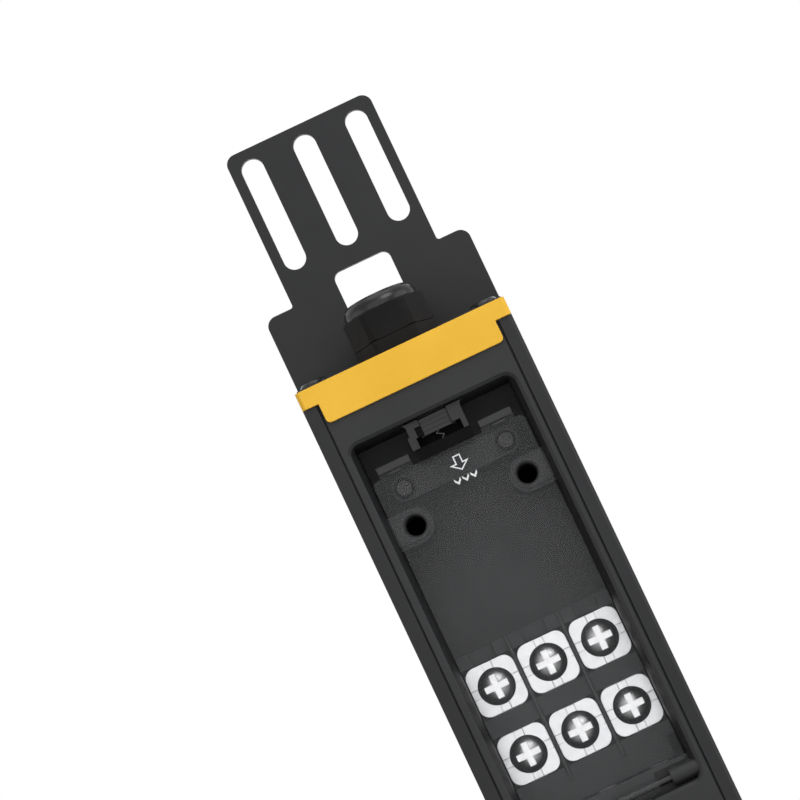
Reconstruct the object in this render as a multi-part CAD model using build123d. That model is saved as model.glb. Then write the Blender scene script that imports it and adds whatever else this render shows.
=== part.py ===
"""Rack power distribution unit, short vertical (0U) pattern, with a hard-wired input end.

An open aluminium profile is closed in front by two slide-in moulded panels. The upper panel is the wiring
tray: a deep tub with a cable clamp and a terminal block under a clear hinged door with a sliding latch.
The lower panel carries the outlets, fed by three brass busbars. Yellow end caps close the profile, and a
folded steel bracket with three long slots is screwed over each cap. A cable gland passes the upper cap.

Frame, in millimetres: X across the width (right seen from the front), the front faces -Y, the flat back
is at y = 0, Z runs up along the length towards the gland, and z = 0 is at mid length.
"""
from build123d import *
import os
from math import atan2, degrees, hypot

# Overall
LENGTH = 440.0
WIDTH = 62.0
DEPTH = 45.0
FRONT_CHAMFER = 0.9
BACK_R = 2.0

# Aluminium profile
WALL = 1.8
BACK_WALL = 2.0
LIP_THICK = 1.8
LIP_REACH = 3.9
PANEL_SLOT = 2.3
LEDGE_THICK = 1.5
LEDGE_REACH = 3.6
PORT_INSET = 5.0
PORT_DEPTH = 9.0
PORT_R = 3.4
PORT_GAP = 1.6
RAIL_INSET = 14.4
RAIL_SLOT = 2.9
RAIL_WALL = 1.5
RAIL_TOP = 14.7

# Screws
END_SCREW_R = 1.7
END_SCREW_LENGTH = 22.0
END_HEAD_R = 3.9
END_HEAD_H = 1.5
TAPPING_R = 1.4
TAPPING_HEAD_R = 2.8
TAPPING_HEAD_H = 2.0
SCREW_CLEARANCE = 0.5
THREAD_CLEARANCE = 0.05
HEAD_BEVEL = 0.4
CROSS_LENGTH = 1.2
CROSS_WIDTH = 0.3
CROSS_DEPTH = 0.6

# Moulded panels, held behind the lips of the profile
PANEL_CLEARANCE = 0.6
PANEL_INSET = 0.2
PANEL_THICK = 2.4
PANEL_LEG = 1.5
FLANGE_THICK = 2.0
FLANGE_CLEARANCE = 0.4
PANEL_GAP = 0.4

# End caps
CAP_HEIGHT = 5.1
CAP_PROUD = 1.0
TONGUE_INSET = 0.25
TONGUE_DROP = 5.9
TONGUE_R = 1.4
SPIGOT_H = 4.0
SPIGOT_THICK = 1.4
SPIGOT_CLEARANCE = 0.2
SPIGOT_LENGTH = 20.0
SPIGOT_BACK_GAP = 1.65

# Brackets
BRACKET_THICK = 3.0
BRACKET_HEIGHT = 72.1
BRACKET_NARROW = 44.45
BRACKET_R = 3.0
BRACKET_INNER_R = 0.8
BEND_R = 1.0
FOOT_DEPTH = 17.0
SLOT_WIDTH = 6.5
SLOT_LENGTH = 33.9
SLOT_PITCH = 16.0
SLOT_EDGE = 2.95
WINDOW_WIDTH = 17.0
WINDOW_WEB = 5.4
SHOULDER_DROP = 3.8
WINDOW_R = 2.3
NOTCH_R = 13.2

# Cable gland
GLAND_DEPTH = 22.5
HEX_FLATS = 21.5
HEX_CORNER_R = 12.0
GLAND_HEX_H = 4.9
GLAND_THREAD_R = 9.3
GLAND_TAIL = 12.0
GLAND_NECK_TOP = 12.4
GLAND_BORE_R = 5.9
CAP_HOLE_CLEARANCE = 0.2
LOCKNUT_FLATS = 24.0
LOCKNUT_H = 4.0
NUT_GAP = 0.1
NUT_HEX_TOP = 13.3
NUT_TOP = 18.9
NUT_DOME_R = 10.75
NUT_DOME_FILLET = 3.0
NUT_CLEARANCE = 0.3
NUT_MOUTH_R = 6.3
SEAL_R = 8.2
SEAL_BORE_R = 5.1
SEAL_BOTTOM = 6.0
SEAL_TOP = 15.4

# Wiring tray, distances measured down from the upper cap's end face
TRAY_FOOT = 11.0
RECESS_TOP = 19.3
RECESS_END = 139.0
RECESS_MARGIN = 2.1
RECESS_R = 3.0
RIM = 0.9
RIM_DEPTH = 0.7
DISH_DEPTH = 5.2
DISH_INSET = 1.4
DISH_TOP_INSET = 0.4
TUB_WALL = 1.4
TUB_FLOOR = 1.8
COLLAR_WALL = 1.5
HINGE_BAY = 7.5
CABLE_WAY_HALF = 6.0
CATCH_GAP = 0.4
CATCH_SLOT = 1.0
CATCH_WALL = 1.6

# Screw towers and cable clamp
TOWER_PITCH = 11.0
TOWER_R = 4.9
TOWER_CREST_R = 3.75
TOWER_STEP = 1.2
TOWER_BORE_R = 3.1
CLAMP_PITCH = 4.0
CLAMP_INSET = 1.4
CLAMP_HALF_H = 3.65
CLAMP_THICK = 3.0
CLAMP_LIFT = 10.5
CLAMP_BOSS_R = 3.2
CLAMP_RIB_H = 1.2
CLAMP_RIB_T = 0.8
CLAMP_RIB_PITCH = 2.19
CLAMP_SCREW_LENGTH = 9.0
TRAY_SCREW_SPARE = 4.0

# Door, hinge and latch
DOOR_MARGIN = 1.9
DOOR_SHOULDER = 3.2
DOOR_THICK = 2.0
DOOR_SINK = 3.0
DOOR_CORNER_R = 1.5
DOOR_REST = 0.3
DOOR_HOLE_CLEARANCE = 0.3
HINGE_SETBACK = 3.3
HINGE_SINK = 3.4
HINGE_R = 2.4
HINGE_END_GAP = 4.0
HINGE_POCKET_CLEARANCE = 0.5
HINGE_SKIN = 1.5
PIN_R = 1.0
PIN_RUNNING = 0.05
EAR_LENGTH = 7.8
EAR_R = 2.55
PAD_SPACING = 2.9
PAD_INSET = 2.5
PAD_REACH = 3.4
PAD_THICK = 1.2
CARRIER_HALF = 7.4
CARRIER_GAP = 0.3
CARRIER_DEPTH = 5.2
CARRIER_FLOOR = 1.2
LATCH_HALF = 4.0
LATCH_INSET = 0.2
LATCH_LENGTH = 4.6
LATCH_ROOM = 2.5
LATCH_SLOT_HALF = 6.6
LATCH_FLOOR_GAP = 0.3
LATCH_SIDE_GAP = 0.3
LATCH_WING = 1.0
LATCH_WING_T = 1.2
LATCH_RIDGE = 0.6
LATCH_SINK = 0.2
SPRING_HALF = 1.1
SPRING_THICK = 0.3
SPRING_WIDTH = 1.4
SPRING_FOLDS = 6
SPRING_ROOM = 0.35
SPRING_INSET = 1.2

# Terminal block
BLOCK_LENGTH = 43.1
BLOCK_END_GAP = 6.3
BLOCK_SIDE_GAP = 0.1
BLOCK_FLOOR = 4.0
BLOCK_HEIGHT = 9.6
DIVIDER = 0.9
ROW_PITCH = 20.25
ROW_INSET = 11.35
CROSS_NOTCH = 7.0
TERMINAL_R = 2.2
WASHER_SIDE_LAND = 0.35
WASHER_GAP = 1.2
WASHER_LAND = 0.25
WASHER_R = 3.0
WASHER_THICK = 1.3
WASHER_GROOVE = 2.6
WASHER_GROOVE_DEPTH = 0.25
TERMINAL_HEAD_R = 5.2
TERMINAL_HEAD_H = 2.6
TERMINAL_SCREW_LENGTH = 6.8
TERMINAL_CROSS = 7.2
TERMINAL_CROSS_W = 2.0
TERMINAL_BEVEL = 1.43
TERMINAL_CROSS_DEPTH = 1.56
TERMINAL_HOLE_FLOOR = 0.8
SNAP_INNER = 10.2
SNAP_INSET = 3.4
SNAP_THICK = 1.6
SNAP_HEIGHT = 3.5
COVER_THICK = 1.0
COVER_GAP = 0.2
SKIRT_BORDER = 2.5
SKIRT_END_GAP = 0.4

# Busbars and carrier
BAR_THICK = 3.0
BAR_PAD = 10.0
BAR_PAD_HEAD = 6.1
BAR_PAD_FOOT = 7.15
BAR_NECK = 5.0
BAR_WIDTH = 4.6
JOG_SETBACK = 5.5
JOG_LENGTH = 10.0
BAR_WINDOW_CLEARANCE = 0.5
BAR_TAIL = 8.0
CARRIER_TOP_GAP = 2.0
CARRIER_END_INSET = 15.0
CARRIER_BORDER = 3.9
CARRIER_RIB = 1.6
CARRIER_RIB_GAP = 0.4
CARRIER_RIB_H = 3.6
CARRIER_SCREW_INSET = 14.0
CARRIER_SCREW_LENGTH = 10.0
EARTH_POST_SETBACK = 11.5
EARTH_POST_R = 3.5
EARTH_SCREW_R = 1.9
EARTH_HEAD_R = 3.2
EARTH_HEAD_H = 2.2
EARTH_SCREW_LENGTH = 14.0
EARTH_FLAT = 9.0

# Outlets
OUTLET_PITCH = 30.0
OUTLET_MARGIN = 32.0
CORE_W = 23.8
CORE_H = 15.8
CORE_CHAMFER = 4.2
MOAT = 2.2
MOAT_DEPTH = 17.0
CASE_WALL = 1.3
CASE_BACK = 24.5
FLANGE_BORDER = 1.4
OUTLET_PROUD = 1.4
CORE_SUNK = 0.8
OUTLET_CLEARANCE = 0.15
PIN_X = 7.0
PIN_RISE = 2.0
PIN_SLOT_W = 2.6
PIN_SLOT_H = 4.8
POCKET_W = 4.8
POCKET_H = 6.4
POCKET_DEPTH = 11.0
CLIP_W = 3.8
CLIP_H = 4.4
CLIP_LEAF = 0.7
CLIP_RISE = 11.0
BARB = 0.6
BARB_LENGTH = 8.0

# Places worked out from the sizes above
HALF_LENGTH = LENGTH / 2
HALF_WIDTH = WIDTH / 2
LIP_EDGE = HALF_WIDTH - LIP_REACH
LEDGE_EDGE = HALF_WIDTH - LEDGE_REACH
PORT_X = HALF_WIDTH - PORT_INSET
RAIL_X = HALF_WIDTH - RAIL_INSET
PANEL_HALF = LIP_EDGE - PANEL_CLEARANCE
TONGUE_HALF = PANEL_HALF - TONGUE_INSET
LIP_BACK = -DEPTH + LIP_THICK
LEDGE_FRONT = LIP_BACK + PANEL_SLOT
FLANGE_FRONT = LEDGE_FRONT - FLANGE_THICK
PANEL_FRONT = -DEPTH + PANEL_INSET
PANEL_BACK = PANEL_FRONT + PANEL_THICK
FLANGE_HALF = HALF_WIDTH - WALL - FLANGE_CLEARANCE
CAP_FRONT = -DEPTH - CAP_PROUD
SLOT_MIDDLE = BRACKET_HEIGHT - SLOT_EDGE - SLOT_LENGTH / 2
WINDOW_TOP = SLOT_MIDDLE - SLOT_LENGTH / 2 - WINDOW_WEB
SHOULDER_HEIGHT = WINDOW_TOP - SHOULDER_DROP
FLOOR_BACK = -RAIL_TOP
FLOOR_FRONT = FLOOR_BACK - TUB_FLOOR
RECESS_HALF = PANEL_HALF - RECESS_MARGIN
TRAY_END = RECESS_END + TRAY_FOOT
CHAMBER_HALF = RECESS_HALF - DISH_INSET
CHAMBER_TOP = RECESS_TOP + DISH_TOP_INSET
CHAMBER_END = RECESS_END - HINGE_BAY
CARRIER_TOP = CHAMBER_TOP + CARRIER_GAP
LATCH_TOP = CARRIER_TOP + LATCH_INSET
LATCH_END = LATCH_TOP + LATCH_LENGTH
LATCH_SLOT_END = LATCH_END + LATCH_ROOM
SPRING_START = LATCH_TOP + SPRING_INSET
DOOR_HALF = RECESS_HALF - DOOR_MARGIN
DOOR_TOP = LATCH_SLOT_END + DOOR_SHOULDER
PAD_INNER = CARRIER_HALF + PAD_SPACING
PAD_OUTER = DOOR_HALF - PAD_INSET
PAD_TOP = DOOR_TOP - PAD_REACH
CLAMP_DOWN = DOOR_TOP + CLAMP_PITCH
CLAMP_X = RAIL_X - CLAMP_INSET
TOWER_DOWN = CLAMP_DOWN + TOWER_PITCH
HINGE_DOWN = RECESS_END - HINGE_SETBACK
EAR_INNER = RECESS_HALF - EAR_LENGTH
HINGE_HALF = EAR_INNER - HINGE_END_GAP
DISH_BACK = PANEL_FRONT + DISH_DEPTH
DOOR_FRONT = PANEL_FRONT + DOOR_SINK
DOOR_BACK = DOOR_FRONT + DOOR_THICK
HINGE_Y = PANEL_FRONT + HINGE_SINK
POCKET_FLOOR = HINGE_Y + HINGE_R + HINGE_POCKET_CLEARANCE
BLOCK_END = CHAMBER_END - BLOCK_END_GAP
BLOCK_TOP = BLOCK_END - BLOCK_LENGTH
ROW_2 = BLOCK_END - ROW_INSET
ROW_1 = ROW_2 - ROW_PITCH
BLOCK_BED = FLOOR_FRONT - BLOCK_FLOOR
BAR_FRONT = BLOCK_BED - BAR_THICK
COVER_BACK = BAR_FRONT - COVER_GAP
COVER_FRONT = COVER_BACK - COVER_THICK
WASHER_FRONT = BAR_FRONT - WASHER_THICK
POLE_PITCH = (CHAMBER_HALF - WASHER_SIDE_LAND + WASHER_GAP / 2) / 1.5
WASHER = POLE_PITCH - WASHER_GAP
BLOCK_HALF = CHAMBER_HALF - BLOCK_SIDE_GAP
SNAP_OUTER = CHAMBER_HALF - SNAP_INSET
BAR_PAD_TOP = ROW_1 - BAR_PAD_HEAD
BAR_PAD_END = ROW_2 + BAR_PAD_FOOT
JOG_START = CHAMBER_END + JOG_SETBACK
JOG_END = JOG_START + JOG_LENGTH
EARTH_POST_DOWN = CHAMBER_END + EARTH_POST_SETBACK
CARRIER_BAR_TOP = TRAY_END + CARRIER_TOP_GAP
CARRIER_BAR_END = LENGTH - CARRIER_END_INSET
CARRIER_BAR_HALF = RAIL_X + CARRIER_BORDER
CARRIER_BACK = DOOR_FRONT + CARRIER_DEPTH
CARRIER_BED = CARRIER_BACK - CARRIER_FLOOR
LATCH_FRONT = DOOR_FRONT + LATCH_SINK
LATCH_BACK = CARRIER_BED - LATCH_FLOOR_GAP
POLES = {"neutral": -1, "earth": 0, "live": 1}
OUTLET_PANEL_TOP = TRAY_END + PANEL_GAP
OUTLET_PANEL_END = LENGTH - CAP_HEIGHT
OUTLET_STEPS = int((OUTLET_PANEL_END - OUTLET_PANEL_TOP - 2 * OUTLET_MARGIN) / OUTLET_PITCH)
OUTLET_FIRST = (OUTLET_PANEL_TOP + OUTLET_PANEL_END - OUTLET_STEPS * OUTLET_PITCH) / 2
OUTLET_DOWNS = [OUTLET_FIRST + number * OUTLET_PITCH for number in range(OUTLET_STEPS + 1)]


def up(distance):
    """Z of a point measured down from the upper cap's end face."""
    return HALF_LENGTH - distance


def front(y):
    """A sketch plane facing the viewer at depth y: local x is X, local y is Z, extruding goes to -Y."""
    return Plane(origin=(0, y, 0), x_dir=(1, 0, 0), z_dir=(0, -1, 0))


def level(z):
    """A cross-section plane at height z: local x is X, local y is Y."""
    return Plane(origin=(0, 0, z), x_dir=(1, 0, 0), z_dir=(0, 0, 1))


def block(x, y, z):
    """A box from three (low, high) spans."""
    spans = [sorted(span) for span in (x, y, z)]
    middle = [(low + high) / 2 for low, high in spans]
    return Pos(*middle) * Box(*[high - low for low, high in spans])


def rect(x, y):
    """A flat rectangle from two (low, high) spans."""
    spans = [sorted(span) for span in (x, y)]
    middle = [(low + high) / 2 for low, high in spans]
    return Pos(*middle) * Rectangle(*[high - low for low, high in spans])


def rod(radius, y, x=0.0, z=0.0):
    """A round bar along Y at (x, z) over the (low, high) span of y."""
    low, high = sorted(y)
    return Pos(x, high, z) * extrude(front(0) * Circle(radius), high - low)


def post(radius, z, x=0.0, y=0.0):
    """A round bar along Z at (x, y) over the (low, high) span of z."""
    low, high = sorted(z)
    return extrude(level(low) * Pos(x, y) * Circle(radius), high - low)


def axle(radius, x, y, z):
    """A round bar along X at (y, z) over the (low, high) span of x."""
    low, high = sorted(x)
    return extrude(Plane.YZ.offset(low) * Pos(y, z) * Circle(radius), high - low)


def both_sides(shape):
    """The shape and its mirror image across the middle plane x = 0."""
    return shape + mirror(shape, about=Plane.YZ)


def other_end(shape):
    """The same piece at the lower end."""
    return mirror(shape, about=Plane.XY)


def cross(size, width, depth, y, x=0.0, z=0.0):
    """A cross recess cut into a head whose top is at y, seen from the front."""
    bar = block((-size / 2, size / 2), (y, y + depth), (-width / 2, width / 2))
    return Pos(x, 0, z) * (bar + Rot(0, 90, 0) * bar)


def pan_screw(radius, head_r, head_h, length, seat, x=0.0, z=0.0):
    """A cross-recess pan-head screw driven towards +Y, its head on a seat at y = seat."""
    head = rod(head_r, (seat - head_h, seat), x, z)
    head = chamfer(head.edges().group_by(Axis.Y)[0], head_h * HEAD_BEVEL)
    shank = rod(radius, (seat, seat + length), x, z)
    size, width, depth = head_r * CROSS_LENGTH, head_r * CROSS_WIDTH, head_h * CROSS_DEPTH
    return head + shank - cross(size, width, depth, seat - head_h, x, z)


def body_profile():
    section = Pos(0, -DEPTH / 2) * Rectangle(WIDTH, DEPTH)
    section = chamfer(section.vertices().group_by(Axis.Y)[0], FRONT_CHAMFER)
    section = fillet(section.vertices().group_by(Axis.Y)[-1], BACK_R)
    inner = HALF_WIDTH - WALL
    section -= rect((-inner, inner), (LIP_BACK, -BACK_WALL))
    section -= rect((-LIP_EDGE, LIP_EDGE), (-DEPTH - 1, LIP_BACK + 1))
    ledge = rect((LEDGE_EDGE, inner + WALL / 2), (LEDGE_FRONT, LEDGE_FRONT + LEDGE_THICK))
    port = Pos(PORT_X, -PORT_DEPTH) * Circle(PORT_R)
    port -= Pos(PORT_X, -PORT_DEPTH) * Circle(END_SCREW_R + THREAD_CLEARANCE)
    port -= rect((PORT_X - PORT_R - 1, PORT_X), (-PORT_DEPTH - PORT_GAP / 2, -PORT_DEPTH + PORT_GAP / 2))
    rib_inner = RAIL_X - RAIL_SLOT / 2
    rib_outer = RAIL_X + RAIL_SLOT / 2
    ribs = rect((rib_inner - RAIL_WALL, rib_inner), (-RAIL_TOP, -BACK_WALL / 2))
    ribs += rect((rib_outer, rib_outer + RAIL_WALL), (-RAIL_TOP, -BACK_WALL / 2))
    section += both_sides(ledge + port + ribs)
    section -= both_sides(Pos(PORT_X, -PORT_DEPTH) * Circle(END_SCREW_R + THREAD_CLEARANCE))
    half = HALF_LENGTH - CAP_HEIGHT
    return extrude(level(-half) * section, 2 * half)


def end_cap(gland_hole):
    outline = Pos(0, CAP_FRONT / 2) * Rectangle(WIDTH, -CAP_FRONT)
    outline = chamfer(outline.vertices().group_by(Axis.Y)[0], FRONT_CHAMFER)
    outline = fillet(outline.vertices().group_by(Axis.Y)[-1], BACK_R)
    cap = extrude(level(up(CAP_HEIGHT)) * outline, CAP_HEIGHT)
    tongue = rect((-TONGUE_HALF, TONGUE_HALF), (up(CAP_HEIGHT + TONGUE_DROP), up(CAP_HEIGHT / 2)))
    tongue = fillet(tongue.vertices().group_by(Axis.Y)[0], TONGUE_R)
    cap += extrude(front(PANEL_FRONT) * tongue, PANEL_FRONT - CAP_FRONT)
    wall_face = HALF_WIDTH - WALL - SPIGOT_CLEARANCE
    spigot_z = (up(CAP_HEIGHT + SPIGOT_H), up(CAP_HEIGHT / 2))
    side_y = (-DEPTH / 2 - SPIGOT_LENGTH / 2, -DEPTH / 2 + SPIGOT_LENGTH / 2)
    cap += both_sides(block((wall_face - SPIGOT_THICK, wall_face), side_y, spigot_z))
    back_face = -BACK_WALL - SPIGOT_CLEARANCE
    back_half = RAIL_X - RAIL_SLOT / 2 - RAIL_WALL - SPIGOT_BACK_GAP
    back_x = (-back_half, back_half)
    cap += block(back_x, (back_face - SPIGOT_THICK, back_face), spigot_z)
    through = (up(CAP_HEIGHT + SPIGOT_H + 1), up(-1))
    cap -= both_sides(post(END_SCREW_R + SCREW_CLEARANCE, through, PORT_X, -PORT_DEPTH))
    if gland_hole:
        cap -= post(GLAND_THREAD_R + CAP_HOLE_CLEARANCE, through, 0, -GLAND_DEPTH)
    return cap


def bracket():
    bend = Plane.YZ.offset(-HALF_WIDTH)
    strip = rect((-BRACKET_THICK, 0), (0, BRACKET_HEIGHT)) + rect((-FOOT_DEPTH, 0), (0, BRACKET_THICK))
    corners = strip.vertices()
    inside = corners.sort_by_distance((-BRACKET_THICK, BRACKET_THICK))[0]
    strip = fillet([inside], BEND_R)
    outside = strip.vertices().sort_by_distance((0, 0))[0]
    strip = fillet([outside], BEND_R + BRACKET_THICK)
    folded = extrude(bend * strip, WIDTH)
    narrow = BRACKET_NARROW / 2
    outline = rect((-HALF_WIDTH, HALF_WIDTH), (-1, SHOULDER_HEIGHT))
    outline = fillet(outline.vertices().group_by(Axis.Y)[-1], BRACKET_R)
    neck = rect((-narrow, narrow), (0, BRACKET_HEIGHT))
    outline += fillet(neck.vertices().group_by(Axis.Y)[-1], BRACKET_R)
    inner_corners = [
        corner
        for corner in outline.vertices()
        if abs(abs(corner.X) - narrow) < 0.01 and abs(corner.Y - SHOULDER_HEIGHT) < 0.01
    ]
    outline = fillet(inner_corners, BRACKET_INNER_R)
    for column in (-1, 0, 1):
        slot = Rot(0, 0, 90) * SlotOverall(SLOT_LENGTH, SLOT_WIDTH)
        outline -= Pos(column * SLOT_PITCH, SLOT_MIDDLE) * slot
    half_window = WINDOW_WIDTH / 2
    window = rect((-half_window, half_window), (-2, WINDOW_TOP))
    outline -= fillet(window.vertices().group_by(Axis.Y)[-1], WINDOW_R)
    folded &= extrude(front(1) * outline, FOOT_DEPTH + 2)
    folded -= post(NOTCH_R, (-1, BRACKET_THICK + 1), 0, -GLAND_DEPTH)
    hole_r = END_SCREW_R + SCREW_CLEARANCE
    folded -= both_sides(post(hole_r, (-1, BRACKET_THICK + 1), PORT_X, -PORT_DEPTH))
    return Pos(0, 0, HALF_LENGTH) * folded


def end_screws():
    screw = pan_screw(END_SCREW_R, END_HEAD_R, END_HEAD_H, END_SCREW_LENGTH, 0)
    screw = Rot(-90, 0, 0) * screw
    place = Pos(PORT_X, -PORT_DEPTH, HALF_LENGTH + BRACKET_THICK)
    return both_sides(place * screw)


def hexagon(flats):
    """A hexagon about the gland's axis, a flat facing the front, its corners turned off."""
    shape = RegularPolygon(flats / 2, 6, major_radius=False)
    return Pos(0, -GLAND_DEPTH) * (shape & Circle(flats / 2 * HEX_CORNER_R * 2 / HEX_FLATS))


def gland_body():
    body = extrude(level(HALF_LENGTH) * hexagon(HEX_FLATS), GLAND_HEX_H)
    body += post(GLAND_THREAD_R, (up(GLAND_TAIL), up(-GLAND_NECK_TOP)), 0, -GLAND_DEPTH)
    body -= post(GLAND_BORE_R, (up(GLAND_TAIL + 1), up(-GLAND_NECK_TOP - 1)), 0, -GLAND_DEPTH)
    seat = up(-SEAL_BOTTOM)
    return body - post(SEAL_R, (seat, up(-GLAND_NECK_TOP - 1)), 0, -GLAND_DEPTH)


def gland_seal():
    seal = post(SEAL_R, (up(-SEAL_BOTTOM), up(-SEAL_TOP)), 0, -GLAND_DEPTH)
    seal = chamfer(seal.edges().group_by(Axis.Z)[-1], SEAL_R - NUT_MOUTH_R)
    return seal - post(SEAL_BORE_R, (up(0), up(-NUT_TOP)), 0, -GLAND_DEPTH)


def gland_nut():
    base = HALF_LENGTH + GLAND_HEX_H + NUT_GAP
    nut = extrude(level(base) * hexagon(HEX_FLATS), up(-NUT_HEX_TOP) - base)
    dome = post(NUT_DOME_R, (up(-NUT_HEX_TOP + 1), up(-NUT_TOP)), 0, -GLAND_DEPTH)
    nut += fillet(dome.edges().group_by(Axis.Z)[-1], NUT_DOME_FILLET)
    thread_r = GLAND_THREAD_R + NUT_CLEARANCE
    ceiling = up(-SEAL_TOP - NUT_CLEARANCE)
    shoulder = ceiling - (thread_r - NUT_MOUTH_R)
    nut -= post(thread_r, (base - 1, shoulder), 0, -GLAND_DEPTH)
    taper = Cone(thread_r, NUT_MOUTH_R, ceiling - shoulder)
    nut -= Pos(0, -GLAND_DEPTH, (shoulder + ceiling) / 2) * taper
    return nut - post(NUT_MOUTH_R, (base, up(-NUT_TOP - 1)), 0, -GLAND_DEPTH)


def gland_locknut():
    under_cap = up(CAP_HEIGHT + LOCKNUT_H)
    nut = extrude(level(under_cap) * hexagon(LOCKNUT_FLATS), LOCKNUT_H)
    return nut - post(GLAND_THREAD_R + THREAD_CLEARANCE, (under_cap - 1, up(0)), 0, -GLAND_DEPTH)


def panel(top, bottom):
    """A moulded front panel: a top-hat section whose flanges sit behind the profile's lips."""
    section = rect((-PANEL_HALF, PANEL_HALF), (PANEL_FRONT, PANEL_BACK))
    leg = rect((PANEL_HALF - PANEL_LEG, PANEL_HALF), (PANEL_FRONT, LEDGE_FRONT))
    flange = rect((PANEL_HALF - PANEL_LEG, FLANGE_HALF), (FLANGE_FRONT, LEDGE_FRONT))
    section += both_sides(leg + flange)
    return extrude(level(up(bottom)) * section, bottom - top)


def recess_outline(grow, radius, top_grow=None):
    """The door recess as a rounded rectangle in the front plane, grown by the given margins."""
    top_grow = grow if top_grow is None else top_grow
    high, low = up(RECESS_TOP - top_grow), up(RECESS_END + grow)
    return Pos(0, (high + low) / 2) * RectangleRounded(2 * (RECESS_HALF + grow), high - low, radius)


def recess():
    """The dished opening: a chamfered rim, then drafted walls down to the door's level."""
    mouth = front(PANEL_FRONT) * recess_outline(RIM, RECESS_R + RIM)
    edge = front(PANEL_FRONT + RIM_DEPTH) * recess_outline(0, RECESS_R)
    bottom = front(DISH_BACK) * recess_outline(-DISH_INSET, RECESS_R - DISH_INSET, -DISH_TOP_INSET)
    above = extrude(front(PANEL_FRONT) * recess_outline(RIM, RECESS_R + RIM), 1)
    return above + loft([mouth, edge]) + loft([edge, bottom])


def screw_tower(hollow):
    """A tower on the tub's floor round a tray screw, joined to the side wall; or the bore in it."""
    if hollow:
        bore = rod(TOWER_BORE_R, (PANEL_FRONT, FLOOR_FRONT), RAIL_X, up(TOWER_DOWN))
        return bore + rod(TAPPING_R + SCREW_CLEARANCE, (PANEL_FRONT, 0), RAIL_X, up(TOWER_DOWN))
    crest = DOOR_BACK + DOOR_REST
    side = CHAMBER_HALF + TUB_WALL / 2
    tower = None
    for radius, top in ((TOWER_R, crest + TOWER_STEP), (TOWER_CREST_R, crest)):
        outline = Pos(RAIL_X, up(TOWER_DOWN)) * Circle(radius)
        outline += rect((RAIL_X, side), (up(TOWER_DOWN + radius), up(TOWER_DOWN - radius)))
        step = extrude(front(FLOOR_BACK) * outline, FLOOR_BACK - top)
        tower = step if tower is None else tower + step
    return tower


def clamp_post(hollow):
    """A boss under one end of the cable clamp; or its screw hole."""
    top = FLOOR_FRONT - CLAMP_LIFT
    if hollow:
        thread_y = (top - 1, top + CLAMP_SCREW_LENGTH)
        return rod(TAPPING_R + THREAD_CLEARANCE, thread_y, CLAMP_X, up(CLAMP_DOWN))
    return rod(CLAMP_BOSS_R, (FLOOR_BACK, top), CLAMP_X, up(CLAMP_DOWN))


def hinge_ear():
    """The bearing for one end of the hinge pin, standing on the hinge pocket's floor."""
    side = Plane.YZ.offset(EAR_INNER)
    outline = Pos(HINGE_Y, up(HINGE_DOWN)) * Circle(EAR_R)
    foot_y = (HINGE_Y, POCKET_FLOOR + HINGE_SKIN / 2)
    outline += rect(foot_y, (up(HINGE_DOWN + EAR_R), up(HINGE_DOWN - EAR_R)))
    return extrude(side * outline, RECESS_HALF + RIM - EAR_INNER)


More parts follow.
